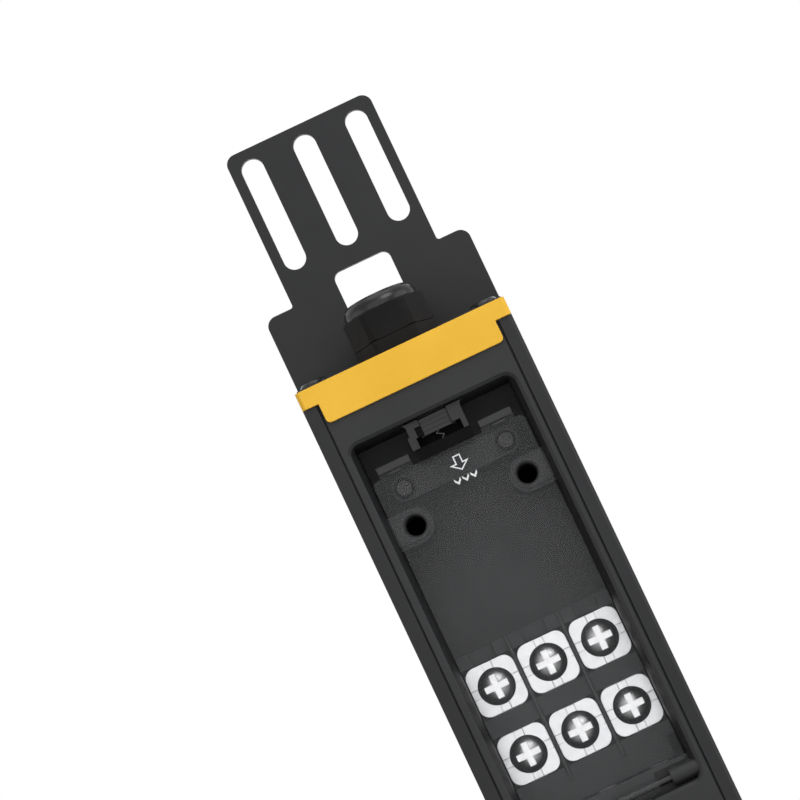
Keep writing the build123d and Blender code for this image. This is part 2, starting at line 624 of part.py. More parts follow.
def wiring_tray():
    tray = panel(CAP_HEIGHT, TRAY_END)
    collar = recess_outline(COLLAR_WALL, RECESS_R + COLLAR_WALL)
    collar_back = DISH_BACK + TUB_WALL
    tray += extrude(front(collar_back) * collar, collar_back - PANEL_BACK)
    outer = CHAMBER_HALF + TUB_WALL
    tub = rect((-outer, outer), (up(CHAMBER_END + TUB_WALL), up(CHAMBER_TOP - TUB_WALL)))
    tray += extrude(front(FLOOR_BACK) * tub, FLOOR_BACK - collar_back)
    hinge_bed = rect((-outer, outer), (up(RECESS_END + COLLAR_WALL), up(CHAMBER_END)))
    tray += extrude(front(POCKET_FLOOR + HINGE_SKIN) * hinge_bed, HINGE_SKIN + DISH_DEPTH / 2)
    catch_half = LATCH_HALF + CATCH_GAP
    catch_top = CHAMBER_TOP - CATCH_SLOT
    boss_x = (-catch_half - CATCH_WALL, catch_half + CATCH_WALL)
    boss_y = (PANEL_BACK, LATCH_BACK + CATCH_GAP + CATCH_WALL)
    tray += block(boss_x, boss_y, (up(CHAMBER_TOP), up(catch_top - CATCH_WALL)))
    tray -= recess()
    catch_y = (LATCH_FRONT - CATCH_GAP, LATCH_BACK + CATCH_GAP)
    tray -= block((-catch_half, catch_half), catch_y, (up(CHAMBER_TOP + 1), up(catch_top)))
    pocket_z = (up(HINGE_DOWN + HINGE_R + HINGE_POCKET_CLEARANCE), up(CHAMBER_END))
    tray -= block((-CHAMBER_HALF, CHAMBER_HALF), (PANEL_FRONT, POCKET_FLOOR), pocket_z)
    chamber = rect((-CHAMBER_HALF, CHAMBER_HALF), (up(CHAMBER_END), up(CHAMBER_TOP)))
    tray -= extrude(front(FLOOR_FRONT) * chamber, FLOOR_FRONT - PANEL_FRONT)
    tray += both_sides(screw_tower(False) + clamp_post(False) + hinge_ear())
    snap_y = (FLOOR_BACK, FLOOR_FRONT - SNAP_HEIGHT)
    snap_z = (up(BLOCK_END + SNAP_THICK), up(BLOCK_END))
    tray += both_sides(block((SNAP_INNER, SNAP_OUTER), snap_y, snap_z))
    snap_z = (up(BLOCK_TOP), up(BLOCK_TOP - SNAP_THICK))
    tray += both_sides(block((SNAP_INNER, SNAP_OUTER), (FLOOR_BACK, FLOOR_FRONT - SNAP_THICK), snap_z))
    tray -= both_sides(screw_tower(True) + clamp_post(True))
    tray -= axle(PIN_R + PIN_RUNNING / 2, (-RECESS_HALF, RECESS_HALF), HINGE_Y, up(HINGE_DOWN))
    top_wall = (up(CHAMBER_TOP + 1), up(CHAMBER_TOP - TUB_WALL - 1))
    way_y = (-GLAND_DEPTH - CABLE_WAY_HALF, FLOOR_FRONT)
    tray -= block((-CABLE_WAY_HALF, CABLE_WAY_HALF), way_y, top_wall)
    window = BAR_NECK / 2 + BAR_WINDOW_CLEARANCE
    window_y = (BLOCK_BED + BAR_WINDOW_CLEARANCE, BAR_FRONT - BAR_WINDOW_CLEARANCE)
    window_z = (up(CHAMBER_END + TUB_WALL + 1), up(CHAMBER_END - 1))
    for side in POLES.values():
        middle = side * POLE_PITCH
        tray -= block((middle - window, middle + window), window_y, window_z)
    return tray


def door():
    outline = rect((-DOOR_HALF, DOOR_HALF), (up(HINGE_DOWN - EAR_R - 2 * DOOR_REST), up(DOOR_TOP)))
    outline = fillet(outline.vertices().group_by(Axis.Y)[-1], DOOR_CORNER_R)
    leaf = extrude(front(DOOR_BACK) * outline, DOOR_THICK)
    knuckle_x = (-HINGE_HALF, HINGE_HALF)
    leaf += block(knuckle_x, (DOOR_FRONT, DOOR_BACK), (up(HINGE_DOWN), up(HINGE_DOWN - 2 * EAR_R)))
    leaf += axle(HINGE_R, knuckle_x, HINGE_Y, up(HINGE_DOWN))
    pad_z = (up(DOOR_TOP + 1), up(PAD_TOP))
    leaf += both_sides(block((PAD_INNER, PAD_OUTER), (DOOR_BACK - PAD_THICK, DOOR_BACK), pad_z))
    frame_x = (-CARRIER_HALF, CARRIER_HALF)
    leaf += block(frame_x, (DOOR_FRONT, CARRIER_BACK), (up(DOOR_TOP + 1), up(CARRIER_TOP)))
    guide = LATCH_HALF + LATCH_SIDE_GAP
    guide_z = (up(LATCH_SLOT_END), up(CARRIER_TOP - 1))
    leaf -= block((-guide, guide), (DOOR_FRONT - 1, CARRIER_BED), guide_z)
    slot_z = (up(LATCH_SLOT_END), up(LATCH_END - DOOR_REST))
    leaf -= block((-LATCH_SLOT_HALF, LATCH_SLOT_HALF), (DOOR_FRONT - 1, CARRIER_BED), slot_z)
    leaf -= block((-guide, guide), (DOOR_FRONT, CARRIER_BACK + 1), slot_z)
    wing = guide + LATCH_WING
    groove = LATCH_WING_T + 2 * LATCH_SIDE_GAP
    leaf -= block((-wing, wing), (CARRIER_BED - groove, CARRIER_BED), guide_z)
    sill_z = (up(DOOR_TOP), up(LATCH_SLOT_END))
    leaf -= block(frame_x, (DOOR_FRONT - 1, CARRIER_BED - groove), sill_z)
    leaf -= axle(PIN_R + PIN_RUNNING, (-HINGE_HALF - 1, HINGE_HALF + 1), HINGE_Y, up(HINGE_DOWN))
    hole = rod(TOWER_BORE_R + DOOR_HOLE_CLEARANCE, (DOOR_FRONT - 1, DOOR_BACK + 1), RAIL_X, up(TOWER_DOWN))
    return leaf - both_sides(hole)


def door_latch():
    """The sliding catch in the door's carrier, hollow below for its spring."""
    catch = block((-LATCH_HALF, LATCH_HALF), (LATCH_FRONT, LATCH_BACK), (up(LATCH_END), up(LATCH_TOP)))
    wing = LATCH_HALF + LATCH_WING
    catch += block((-wing, wing), (LATCH_BACK - LATCH_WING_T, LATCH_BACK), (up(LATCH_END), up(LATCH_TOP)))
    corners = catch.edges().filter_by(Axis.Y).group_by(Axis.Z)[-1]
    catch = fillet(corners, LATCH_WING / 2)
    for number in range(3):
        height = up(LATCH_TOP + 1 + number * 2 * LATCH_RIDGE)
        groove_y = (LATCH_FRONT - 1, LATCH_FRONT + LATCH_RIDGE / 2)
        catch -= block((-LATCH_HALF, LATCH_HALF), groove_y, (height, height - LATCH_RIDGE))
    room = SPRING_HALF + SPRING_ROOM
    room_y = (LATCH_BACK - SPRING_WIDTH - SPRING_ROOM, CARRIER_BED)
    return catch - block((-room, room), room_y, (up(LATCH_END + 1), up(SPRING_START)))


def latch_spring():
    """A folded strip spring between the latch and the slot's lower end."""
    length = LATCH_SLOT_END - SPRING_START
    step = length / SPRING_FOLDS
    reach = SPRING_HALF - SPRING_THICK / 2
    points = [(0, up(SPRING_START) - SPRING_THICK / 2)]
    for fold in range(SPRING_FOLDS - 1):
        side = -1 if fold % 2 else 1
        points.append((side * reach, up(SPRING_START + (fold + 1) * step)))
    points.append((0, up(LATCH_SLOT_END) + SPRING_THICK / 2))
    strip = None
    for start, end in zip(points, points[1:]):
        run = hypot(end[0] - start[0], end[1] - start[1])
        turn = degrees(atan2(end[1] - start[1], end[0] - start[0]))
        middle = ((start[0] + end[0]) / 2, (start[1] + end[1]) / 2)
        piece = Pos(*middle) * Rot(0, 0, turn) * SlotOverall(run + SPRING_THICK, SPRING_THICK)
        strip = piece if strip is None else strip + piece
    strip &= rect((-SPRING_HALF, SPRING_HALF), (up(LATCH_SLOT_END), up(SPRING_START)))
    return extrude(front(LATCH_BACK) * strip, SPRING_WIDTH)


def hinge_pin():
    return axle(PIN_R, (-RECESS_HALF, RECESS_HALF), HINGE_Y, up(HINGE_DOWN))


def tray_screws():
    length = -FLOOR_FRONT - BACK_WALL - TRAY_SCREW_SPARE
    return both_sides(
        pan_screw(TAPPING_R, TAPPING_HEAD_R, TAPPING_HEAD_H, length, FLOOR_FRONT, RAIL_X, up(TOWER_DOWN))
    )


def cable_clamp():
    seat = FLOOR_FRONT - CLAMP_LIFT
    outline = Pos(0, up(CLAMP_DOWN)) * SlotOverall(2 * (CLAMP_X + CLAMP_HALF_H), 2 * CLAMP_HALF_H)
    bar = extrude(front(seat) * outline, CLAMP_THICK)
    for number in range(-1, 2):
        height = up(CLAMP_DOWN + number * CLAMP_RIB_PITCH)
        rib_z = (height - CLAMP_RIB_T / 2, height + CLAMP_RIB_T / 2)
        bar += block((-CLAMP_X / 2, CLAMP_X / 2), (seat, seat + CLAMP_RIB_H), rib_z)
    hole = rod(TAPPING_R + SCREW_CLEARANCE, (seat - CLAMP_THICK - 1, seat + 1), CLAMP_X, up(CLAMP_DOWN))
    return bar - both_sides(hole)


def clamp_screws():
    seat = FLOOR_FRONT - CLAMP_LIFT - CLAMP_THICK
    length = CLAMP_THICK + CLAMP_SCREW_LENGTH - 1
    return both_sides(
        pan_screw(TAPPING_R, TAPPING_HEAD_R, TAPPING_HEAD_H, length, seat, CLAMP_X, up(CLAMP_DOWN))
    )


def terminal_block():
    """The moulded base: a bed for three bars, covers over them beside the washers and a skirt below."""
    span_z = (up(BLOCK_END), up(BLOCK_TOP))
    base = block((-BLOCK_HALF, BLOCK_HALF), (FLOOR_FRONT, BLOCK_BED), span_z)
    crest = FLOOR_FRONT - BLOCK_HEIGHT
    for side in (-0.5, 0.5):
        middle = side * POLE_PITCH
        base += block((middle - DIVIDER / 2, middle + DIVIDER / 2), (BLOCK_BED, crest), span_z)
    reach = WASHER / 2 + WASHER_LAND
    rib_z = (up(ROW_2 - reach), up(ROW_1 + reach))
    foot_z = (up(BLOCK_END), up(ROW_2 + reach))
    head_z = (up(ROW_1 - reach), up(BLOCK_TOP))
    for rib in (rib_z, foot_z, head_z):
        base += block((-BLOCK_HALF, BLOCK_HALF), (BLOCK_BED, COVER_FRONT), rib)
    skirt = POLE_PITCH + BAR_NECK / 2 + SKIRT_BORDER
    skirt_z = (up(CHAMBER_END - SKIRT_END_GAP), up(BLOCK_END - 1))
    base += block((-skirt, skirt), (COVER_BACK, COVER_FRONT), skirt_z)
    for side in POLES.values():
        middle = side * POLE_PITCH
        notch = (middle - CROSS_NOTCH / 2, middle + CROSS_NOTCH / 2)
        base -= block(notch, (COVER_FRONT - 1, BLOCK_BED - 1), head_z)
        pad = BAR_PAD / 2 + BAR_WINDOW_CLEARANCE / 2
        base -= block((middle - pad, middle + pad), (COVER_BACK, BLOCK_BED), rib_z)
        neck = BAR_NECK / 2 + BAR_WINDOW_CLEARANCE / 2
        base -= block((middle - neck, middle + neck), (COVER_BACK, BLOCK_BED), foot_z)
        for row in (ROW_1, ROW_2):
            hole_y = (BLOCK_BED - 1, FLOOR_FRONT - TERMINAL_HOLE_FLOOR)
            base -= rod(TERMINAL_R + SCREW_CLEARANCE, hole_y, middle, up(row))
    return base


def terminal_washers():
    washers = None
    hole_r = TERMINAL_R + SCREW_CLEARANCE
    for side in POLES.values():
        for row in (ROW_1, ROW_2):
            x, z = side * POLE_PITCH, up(row)
            place = front(BAR_FRONT) * Pos(x, z)
            plate = extrude(place * RectangleRounded(WASHER, WASHER, WASHER_R), WASHER_THICK)
            groove_y = (WASHER_FRONT - 1, WASHER_FRONT + WASHER_GROOVE_DEPTH)
            groove = block((-WASHER_GROOVE / 2, WASHER_GROOVE / 2), groove_y, (-WASHER, WASHER))
            groove += block((-WASHER, WASHER), groove_y, (-WASHER_GROOVE / 2, WASHER_GROOVE / 2))
            plate -= Pos(x, 0, z) * groove
            plate -= rod(hole_r, (WASHER_FRONT - 1, BAR_FRONT + 1), x, z)
            washers = plate if washers is None else washers + plate
    return washers


def terminal_screws():
    screws = None
    for side in POLES.values():
        for row in (ROW_1, ROW_2):
            x, z = side * POLE_PITCH, up(row)
            top = WASHER_FRONT - TERMINAL_HEAD_H
            head = rod(TERMINAL_HEAD_R, (top, WASHER_FRONT), x, z)
            head = chamfer(head.edges().group_by(Axis.Y)[0], TERMINAL_BEVEL)
            screw = head + rod(TERMINAL_R, (WASHER_FRONT, WASHER_FRONT + TERMINAL_SCREW_LENGTH), x, z)
            screw -= cross(TERMINAL_CROSS, TERMINAL_CROSS_W, TERMINAL_CROSS_DEPTH, top, x, z)
            screws = screw if screws is None else screws + screw
    return screws


def busbar(side):
    """One flat brass bar: a tapped pad in the terminal block, a jog, then a run under the outlets."""
    pad_x = side * POLE_PITCH
    run_x = side * PIN_X
    pad = rect((pad_x - BAR_PAD / 2, pad_x + BAR_PAD / 2), (up(BAR_PAD_END), up(BAR_PAD_TOP)))
    neck = rect((pad_x - BAR_NECK / 2, pad_x + BAR_NECK / 2), (up(JOG_START), up(BAR_PAD_END)))
    end = OUTLET_DOWNS[-1] + BAR_TAIL
    run = rect((run_x - BAR_WIDTH / 2, run_x + BAR_WIDTH / 2), (up(end), up(JOG_END)))
    shape = pad + neck + run
    shape += make_face(
        Polyline(
            (pad_x - BAR_NECK / 2, up(JOG_START)),
            (pad_x + BAR_NECK / 2, up(JOG_START)),
            (run_x + BAR_WIDTH / 2, up(JOG_END)),
            (run_x - BAR_WIDTH / 2, up(JOG_END)),
            close=True,
        )
    )
    if side == 0:
        shape += Pos(0, up(EARTH_POST_DOWN)) * Rectangle(EARTH_FLAT, EARTH_FLAT)
    bar = extrude(front(BLOCK_BED) * shape, BAR_THICK)
    for row in (ROW_1, ROW_2):
        bar -= rod(TERMINAL_R + THREAD_CLEARANCE, (BAR_FRONT - 1, 0), pad_x, up(row))
    if side == 0:
        bar -= rod(EARTH_SCREW_R + SCREW_CLEARANCE, (BAR_FRONT - 1, 0), 0, up(EARTH_POST_DOWN))
    return bar


def earth_post():
    post_y = (BLOCK_BED, -BACK_WALL)
    bar = rod(EARTH_POST_R, post_y, 0, up(EARTH_POST_DOWN))
    thread_y = (BLOCK_BED - 1, -BACK_WALL - 1)
    return bar - rod(EARTH_SCREW_R + THREAD_CLEARANCE, thread_y, 0, up(EARTH_POST_DOWN))


def earth_screw():
    return pan_screw(
        EARTH_SCREW_R, EARTH_HEAD_R, EARTH_HEAD_H, EARTH_SCREW_LENGTH, BAR_FRONT, 0, up(EARTH_POST_DOWN)
    )


def busbar_carrier():
    """The insulating base on the profile's rails, with ribs that keep the bars apart."""
    section = rect((-CARRIER_BAR_HALF, CARRIER_BAR_HALF), (BLOCK_BED, FLOOR_BACK))
    inner = BAR_WIDTH / 2 + CARRIER_RIB_GAP
    outer = PIN_X + inner
    for start in (inner, outer):
        section += both_sides(rect((start, start + CARRIER_RIB), (BLOCK_BED - CARRIER_RIB_H, BLOCK_BED)))
    base = extrude(level(up(CARRIER_BAR_END)) * section, CARRIER_BAR_END - CARRIER_BAR_TOP)
    for distance in carrier_screw_downs():
        hole = rod(TAPPING_R + SCREW_CLEARANCE, (BLOCK_BED - 1, 0), RAIL_X, up(distance))
        base -= both_sides(hole)
    return base


def carrier_screw_downs():
    return [CARRIER_BAR_TOP + CARRIER_SCREW_INSET, CARRIER_BAR_END - CARRIER_SCREW_INSET]


def carrier_screws():
    screws = None
    length = FLOOR_BACK - BLOCK_BED + CARRIER_SCREW_LENGTH
    for distance in carrier_screw_downs():
        pair = both_sides(
            pan_screw(TAPPING_R, TAPPING_HEAD_R, TAPPING_HEAD_H, length, BLOCK_BED, RAIL_X, up(distance))
        )
        screws = pair if screws is None else screws + pair
    return screws


def outlet_outline(grow):
    """The appliance-outlet outline with two cut corners at its lower edge, grown by the given margin."""
    shape = Rectangle(CORE_W + 2 * grow, CORE_H + 2 * grow)
    return chamfer(shape.vertices().group_by(Axis.Y)[0], CORE_CHAMFER + grow * 0.6)


def outlet_panel():
    plate = panel(OUTLET_PANEL_TOP, OUTLET_PANEL_END)
    for distance in OUTLET_DOWNS:
        hole = outlet_outline(MOAT + CASE_WALL + OUTLET_CLEARANCE)
        plate -= extrude(front(0) * Pos(0, up(distance)) * hole, DEPTH + 1)
    return plate


def pin_places():
    """The three pin positions of an outlet, from its middle: pole side and height."""
    return [(-1, PIN_RISE), (0, -PIN_RISE), (1, PIN_RISE)]


def outlet(distance):
    """One snap-in outlet: a front flange, a case, a moat and a core with three pin slots."""
    face = PANEL_FRONT - OUTLET_PROUD
    case = extrude(front(-CASE_BACK) * outlet_outline(MOAT + CASE_WALL), -CASE_BACK - PANEL_FRONT)
    flange = outlet_outline(MOAT + CASE_WALL + FLANGE_BORDER)
    case += extrude(front(PANEL_FRONT) * flange, OUTLET_PROUD)
    side = CORE_W / 2 + MOAT + CASE_WALL
    barb_y = (PANEL_BACK + OUTLET_CLEARANCE, PANEL_BACK + OUTLET_CLEARANCE + 3 * BARB)
    barb = block((side - 1, side + BARB), barb_y, (0, BARB_LENGTH))
    case += both_sides(barb)
    moat = outlet_outline(MOAT) - outlet_outline(0)
    case -= extrude(front(face + MOAT_DEPTH) * moat, MOAT_DEPTH + 1)
    case -= extrude(front(face + CORE_SUNK) * outlet_outline(0), CORE_SUNK + 1)
    for pole, rise in pin_places():
        x = pole * PIN_X
        slot_x = (x - PIN_SLOT_W / 2, x + PIN_SLOT_W / 2)
        slot_z = (rise - PIN_SLOT_H / 2, rise + PIN_SLOT_H / 2)
        case -= block(slot_x, (face - 1, -CASE_BACK + 1), slot_z)
        pocket_x = (x - POCKET_W / 2, x + POCKET_W / 2)
        pocket_z = (rise - POCKET_H / 2, rise + POCKET_H / 2)
        case -= block(pocket_x, (-CASE_BACK - POCKET_DEPTH, -CASE_BACK + 1), pocket_z)
    return Pos(0, 0, up(distance)) * case


def contacts(pole, rise):
    """Spring clips that stand on one busbar, one in each outlet."""
    clips = None
    for distance in OUTLET_DOWNS:
        x = pole * PIN_X
        base = rect((x - CLIP_W / 2, x + CLIP_W / 2), (BAR_FRONT - CLIP_RISE, BAR_FRONT))
        gap = CLIP_W / 2 - CLIP_LEAF
        base -= rect((x - gap, x + gap), (BAR_FRONT - CLIP_RISE - 1, BAR_FRONT - CLIP_LEAF))
        clip = extrude(level(up(distance) + rise - CLIP_H / 2) * base, CLIP_H)
        clips = clip if clips is None else clips + clip
    return clips


def build():
    cap, blank_cap = end_cap(True), other_end(end_cap(False))
    pieces = {
        "body_profile": body_profile(),
        "end_cap_top": cap,
        "end_cap_bottom": blank_cap,
        "bracket_top": bracket(),
        "bracket_bottom": other_end(bracket()),
        "end_screws_top": end_screws(),
        "end_screws_bottom": other_end(end_screws()),
        "gland_body": gland_body(),
        "gland_seal": gland_seal(),
        "gland_nut": gland_nut(),
        "gland_locknut": gland_locknut(),
        "wiring_tray": wiring_tray(),
        "tray_screws": tray_screws(),
        "wiring_door": door(),
        "door_latch": door_latch(),
        "latch_spring": latch_spring(),
        "hinge_pin": hinge_pin(),
        "cable_clamp": cable_clamp(),
        "clamp_screws": clamp_screws(),
        "terminal_block": terminal_block(),
        "terminal_washers": terminal_washers(),
        "terminal_screws": terminal_screws(),
        "earth_post": earth_post(),
        "earth_screw": earth_screw(),
        "busbar_carrier": busbar_carrier(),
        "carrier_screws": carrier_screws(),
        "outlet_panel": outlet_panel(),
    }
    for name, side in POLES.items():
        pieces["busbar_" + name] = busbar(side)
    for (name, side), (pole, rise) in zip(POLES.items(), pin_places()):
        pieces["contacts_" + name] = contacts(pole, rise)
    for number, distance in enumerate(OUTLET_DOWNS, start=1):
        pieces["outlet_" + str(number)] = outlet(distance)
    return pieces


os.makedirs("parts", exist_ok=True)
for piece_name, shape in build().items():
    export_step(shape, "parts/" + piece_name + ".step")
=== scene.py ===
from math import cos, pi, radians, sin

import bmesh
import bpy
from mathutils import Matrix, Vector


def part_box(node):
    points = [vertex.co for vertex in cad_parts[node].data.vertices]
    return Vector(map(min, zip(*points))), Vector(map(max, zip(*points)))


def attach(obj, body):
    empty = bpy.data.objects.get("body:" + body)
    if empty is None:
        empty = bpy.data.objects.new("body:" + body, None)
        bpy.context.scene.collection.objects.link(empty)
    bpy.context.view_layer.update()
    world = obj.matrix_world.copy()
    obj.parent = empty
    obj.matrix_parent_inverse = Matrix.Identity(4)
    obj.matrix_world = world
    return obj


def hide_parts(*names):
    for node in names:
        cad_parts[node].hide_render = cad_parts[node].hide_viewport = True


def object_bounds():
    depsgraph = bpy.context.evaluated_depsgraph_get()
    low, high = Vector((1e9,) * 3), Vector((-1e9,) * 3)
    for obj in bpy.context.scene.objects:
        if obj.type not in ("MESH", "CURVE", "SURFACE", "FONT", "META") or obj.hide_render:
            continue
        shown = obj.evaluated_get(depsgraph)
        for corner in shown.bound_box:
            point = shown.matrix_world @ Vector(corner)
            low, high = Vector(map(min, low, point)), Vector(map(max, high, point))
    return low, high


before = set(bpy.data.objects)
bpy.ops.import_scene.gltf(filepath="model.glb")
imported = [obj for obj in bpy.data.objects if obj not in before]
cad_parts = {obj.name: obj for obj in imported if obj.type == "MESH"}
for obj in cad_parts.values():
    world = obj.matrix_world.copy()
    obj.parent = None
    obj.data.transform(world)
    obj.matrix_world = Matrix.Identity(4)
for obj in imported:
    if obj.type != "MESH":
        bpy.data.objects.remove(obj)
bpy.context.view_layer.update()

MM = 0.001
WHITE = (1, 1, 1, 1)

# The photograph's camera, found from edges measured in it
CAMERA_PLACE = Vector((1.58, -1236.0, 110.0)) * MM
CAMERA_YAW = radians(-0.364)
CAMERA_TILT = radians(4.635)
CAMERA_ROLL = radians(-25.251)
SENSOR = 36.0
LENS = 200.24
CLIP_START = 0.05
CLIP_END = 20

# Light and surroundings
AMBIENT = 0.05
BACKDROP = 1.0
FLOOR_HALF = 2.2
FLOOR_GAP = 0.4 * MM
FLOOR_COLOUR = (0.82, 0.82, 0.82)
FLOOR_ROUGHNESS = 0.9
FLOOR_LIFT = 0.35
LAMP_AIM = Vector((0, 0, 0.05))
# Name, place, diameter and power of each lamp; the wide ones take the place of a bright room
LAMPS = (
    ("key", (0.75, -1.2, 1.3), 1.0, 13),
    ("front", (-0.3, -2.8, 0.5), 4.0, 38),
    ("left", (-2.8, -0.8, 0.2), 2.6, 14),
    ("right", (2.8, -0.8, 0.4), 2.6, 26),
    ("top", (0.3, -0.4, 2.9), 2.6, 22),
    ("back", (0.2, 2.8, 0.6), 3.6, 40),
)

# The ends of a tone ramp, and how the rubbed edges of the powder coat are found
RAMP_DARK = 0.3
RAMP_LIGHT = 0.7
WORN_TONE = (0.10, 0.10, 0.105)
WORN_WIDTH = 0.4 * MM
WORN_AMOUNT = 0.5
WORN_PATCH = 4.0 * MM
WORN_SAMPLES = 4
WORN_NONE = 0.97
WORN_FULL = 0.80

# The clear door
CLEAR_TONE = (0.168, 0.172, 0.176)
CLEAR_ALPHA = 0.11
CLEAR_SPREAD = 1.2
DOOR_FACE = -41.8 * MM

# Joining and rounding the edges of a mesh
WELD_DISTANCE = 0.002 * MM
MERGE_ANGLE = radians(0.4)
BEVEL_ANGLE = radians(32)
BEVEL_SEGMENTS = 2
FLAT_WEIGHT = 50

# Terminal screws
HEAD_R = 5.2 * MM
HEAD_H = 2.6 * MM
HEAD_RIM = 0.35 * MM
HEAD_RINGS = 12
HEAD_SPREAD = 0.8
HEAD_SMOOTH = radians(35)
SHANK_R = 2.2 * MM
RECESS_LENGTH = 7.2 * MM
RECESS_WIDTH = 2.1 * MM
RECESS_DEPTH = 1.5 * MM
RECESS_DRAFT = 0.25 * MM
RECESS_EDGE = 0.12 * MM
SEGMENTS = 64
SHEEN_ATTRIBUTE = "tone"
# Painted reflection on the heads: the painted shade colour at the rim, the painted sheen's strength in the
# middle and how far it reaches
HEAD_PAINTED_SHADE = (0.045, 0.045, 0.047)
HEAD_PAINTED_SHEEN = 0.62
HEAD_SHEEN_FADE = 0.75

# The generic mark on the door
MARK_THICK = 0.06 * MM
MARK_SHIFT = 1.2 * MM
MARK_MIDDLE = 35.2 * MM
MARK_STROKE = 0.36 * MM
MITRE_LIMIT = 0.35
ARROW_WIDTH = 5.6 * MM
ARROW_HEIGHT = 4.4 * MM
ARROW_STEM = 2.2 * MM
CHEVRON_WIDTH = 1.9 * MM
CHEVRON_HEIGHT = 1.1 * MM
CHEVRON_STROKE = 0.8 * MM
CHEVRON_PITCH = 2.4 * MM
CHEVRON_DROP = 3.6 * MM

# The gland's dome nut, heights above the upper cap's end face
NUT_FLATS = 21.5 * MM
NUT_CORNER_R = 11.85 * MM
NUT_CHAMFER_R = 11.3 * MM
NUT_BASE = 5.0 * MM
NUT_EDGE = 0.25 * MM
NUT_HEX_TOP = 13.3 * MM
NUT_TOP = 17.3 * MM
NUT_DOME_R = 10.7 * MM
NUT_CROWN_R = 3.2 * MM
NUT_MOUTH_R = 6.3 * MM
NUT_THREAD_R = 9.6 * MM
NUT_SHOULDER = 12.4 * MM
NUT_CEILING = 15.7 * MM
NUT_SEGMENTS = 240
NUT_SMOOTH = radians(12)
CROWN_STEPS = 8
RIB_DEPTH = 0.07 * MM
RIB_PITCH = 1.25 * MM
RIB_REACH = 5.0 * MM
RIBS_START = 5.8 * MM
RIBS_FULL = 6.1 * MM
RIBS_FADE = 12.0 * MM
RIBS_END = 12.3 * MM

# The opaque frame round the latch, fitted over the clear carrier; depths along Y, heights by down()
FRAME_HALF = 8.0 * MM
FRAME_FRONT = -42.3 * MM
FRAME_STEP = -41.9 * MM
FRAME_BACK = -36.5 * MM
FRAME_TOP = 19.9 * MM
FRAME_FOOT = 30.5 * MM
FRAME_FLARE = 1.3 * MM
FRAME_ROUNDING = 0.1 * MM
FLARE_BACK = -40.8 * MM
FLARE_STEPS = 6
GUIDE_HALF = 4.2 * MM
GUIDE_BED = -37.95 * MM
WING_HALF = 5.2 * MM
WING_FRONT = -39.55 * MM
FRAME_SLOT_HALF = 6.5 * MM
FRAME_SLOT_TOP = 24.5 * MM
FRAME_SLOT_END = 27.3 * MM
NOTCH_HALF = 5.9 * MM
NOTCH_TOP = 21.8 * MM
STUB_X = (-8.7 * MM, -7.2 * MM)
STUB_TOP = 23.6 * MM
STUB_END = 27.6 * MM
STUB_FRONT = -42.6 * MM
OVERRUN = 1.0 * MM
SUNK_PAST = 0.25 * MM

# Ribs on the door's two lugs, in a lighter grey that stands in for their highlights as painted highlight
LUG_X = (10.4 * MM, 19.9 * MM)
LUG_DOWN = (27.3 * MM, 29.2 * MM)
TICK_X = (13.6 * MM, 17.3 * MM)
TICK_DOWN = (29.6 * MM, 30.3 * MM)
LUG_Y = (-41.35 * MM, -41.02 * MM)
LUG_ROUNDING = 0.08 * MM

# Ringed sleeves in the screw towers
SLEEVE_X = 16.6 * MM
SLEEVE_DOWN = 45.5 * MM
SLEEVE_FRONT = -38.5 * MM
SLEEVE_BACK = -21.0 * MM
SLEEVE_R = 3.05 * MM
SLEEVE_WALL = 0.2 * MM
SLEEVE_RIDGE = 0.22 * MM
SLEEVE_PITCH = 1.2 * MM
SLEEVE_SMOOTH = radians(25)

CAP_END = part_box("end_cap_top")[1].z


def down(distance):
    """Z of a point measured down from the upper cap's end face, in metres."""
    return CAP_END - distance


def shader_of(mat):
    return mat.node_tree.nodes["Principled BSDF"]


def new_material(name, colour, roughness, metallic=0.0, specular=0.5):
    """A principled material with its constants on the shader's own sockets."""
    mat = bpy.data.materials.new(name)
    mat.use_nodes = True
    shader = shader_of(mat)
    shader.inputs["Base Color"].default_value = (*colour, 1)
    shader.inputs["Roughness"].default_value = roughness
    shader.inputs["Metallic"].default_value = metallic
    shader.inputs["Specular IOR Level"].default_value = specular
    return mat


def object_noise(mat, size, detail=3.0, stretch=(1, 1, 1)):
    """Noise in the object's own space whose features are about size metres across."""
    nodes, links = mat.node_tree.nodes, mat.node_tree.links
    place = nodes.new("ShaderNodeTexCoord")
    scale = nodes.new("ShaderNodeMapping")
    scale.inputs["Scale"].default_value = stretch
    noise = nodes.new("ShaderNodeTexNoise")
    noise.inputs["Scale"].default_value = 1 / size
    noise.inputs["Detail"].default_value = detail
    links.new(place.outputs["Object"], scale.inputs["Vector"])
    links.new(scale.outputs["Vector"], noise.inputs["Vector"])
    return noise.outputs["Fac"]


def mottle(mat, dark, light, size, detail=4.0, stretch=(1, 1, 1)):
    """The base colour wanders between two tones."""
    nodes, links = mat.node_tree.nodes, mat.node_tree.links
    ramp = nodes.new("ShaderNodeValToRGB")
    first, last = ramp.color_ramp.elements
    first.position, first.color = RAMP_DARK, (*dark, 1)
    last.position, last.color = RAMP_LIGHT, (*light, 1)
    links.new(object_noise(mat, size, detail, stretch), ramp.inputs["Fac"])
    links.new(ramp.outputs["Color"], shader_of(mat).inputs["Base Color"])


def vary_roughness(mat, low, high, size, stretch=(1, 1, 1)):
    """The roughness wanders between two values."""
    nodes, links = mat.node_tree.nodes, mat.node_tree.links
    spread = nodes.new("ShaderNodeMapRange")
    spread.inputs["To Min"].default_value = low
    spread.inputs["To Max"].default_value = high
    links.new(object_noise(mat, size, stretch=stretch), spread.inputs["Value"])
    links.new(spread.outputs["Result"], shader_of(mat).inputs["Roughness"])


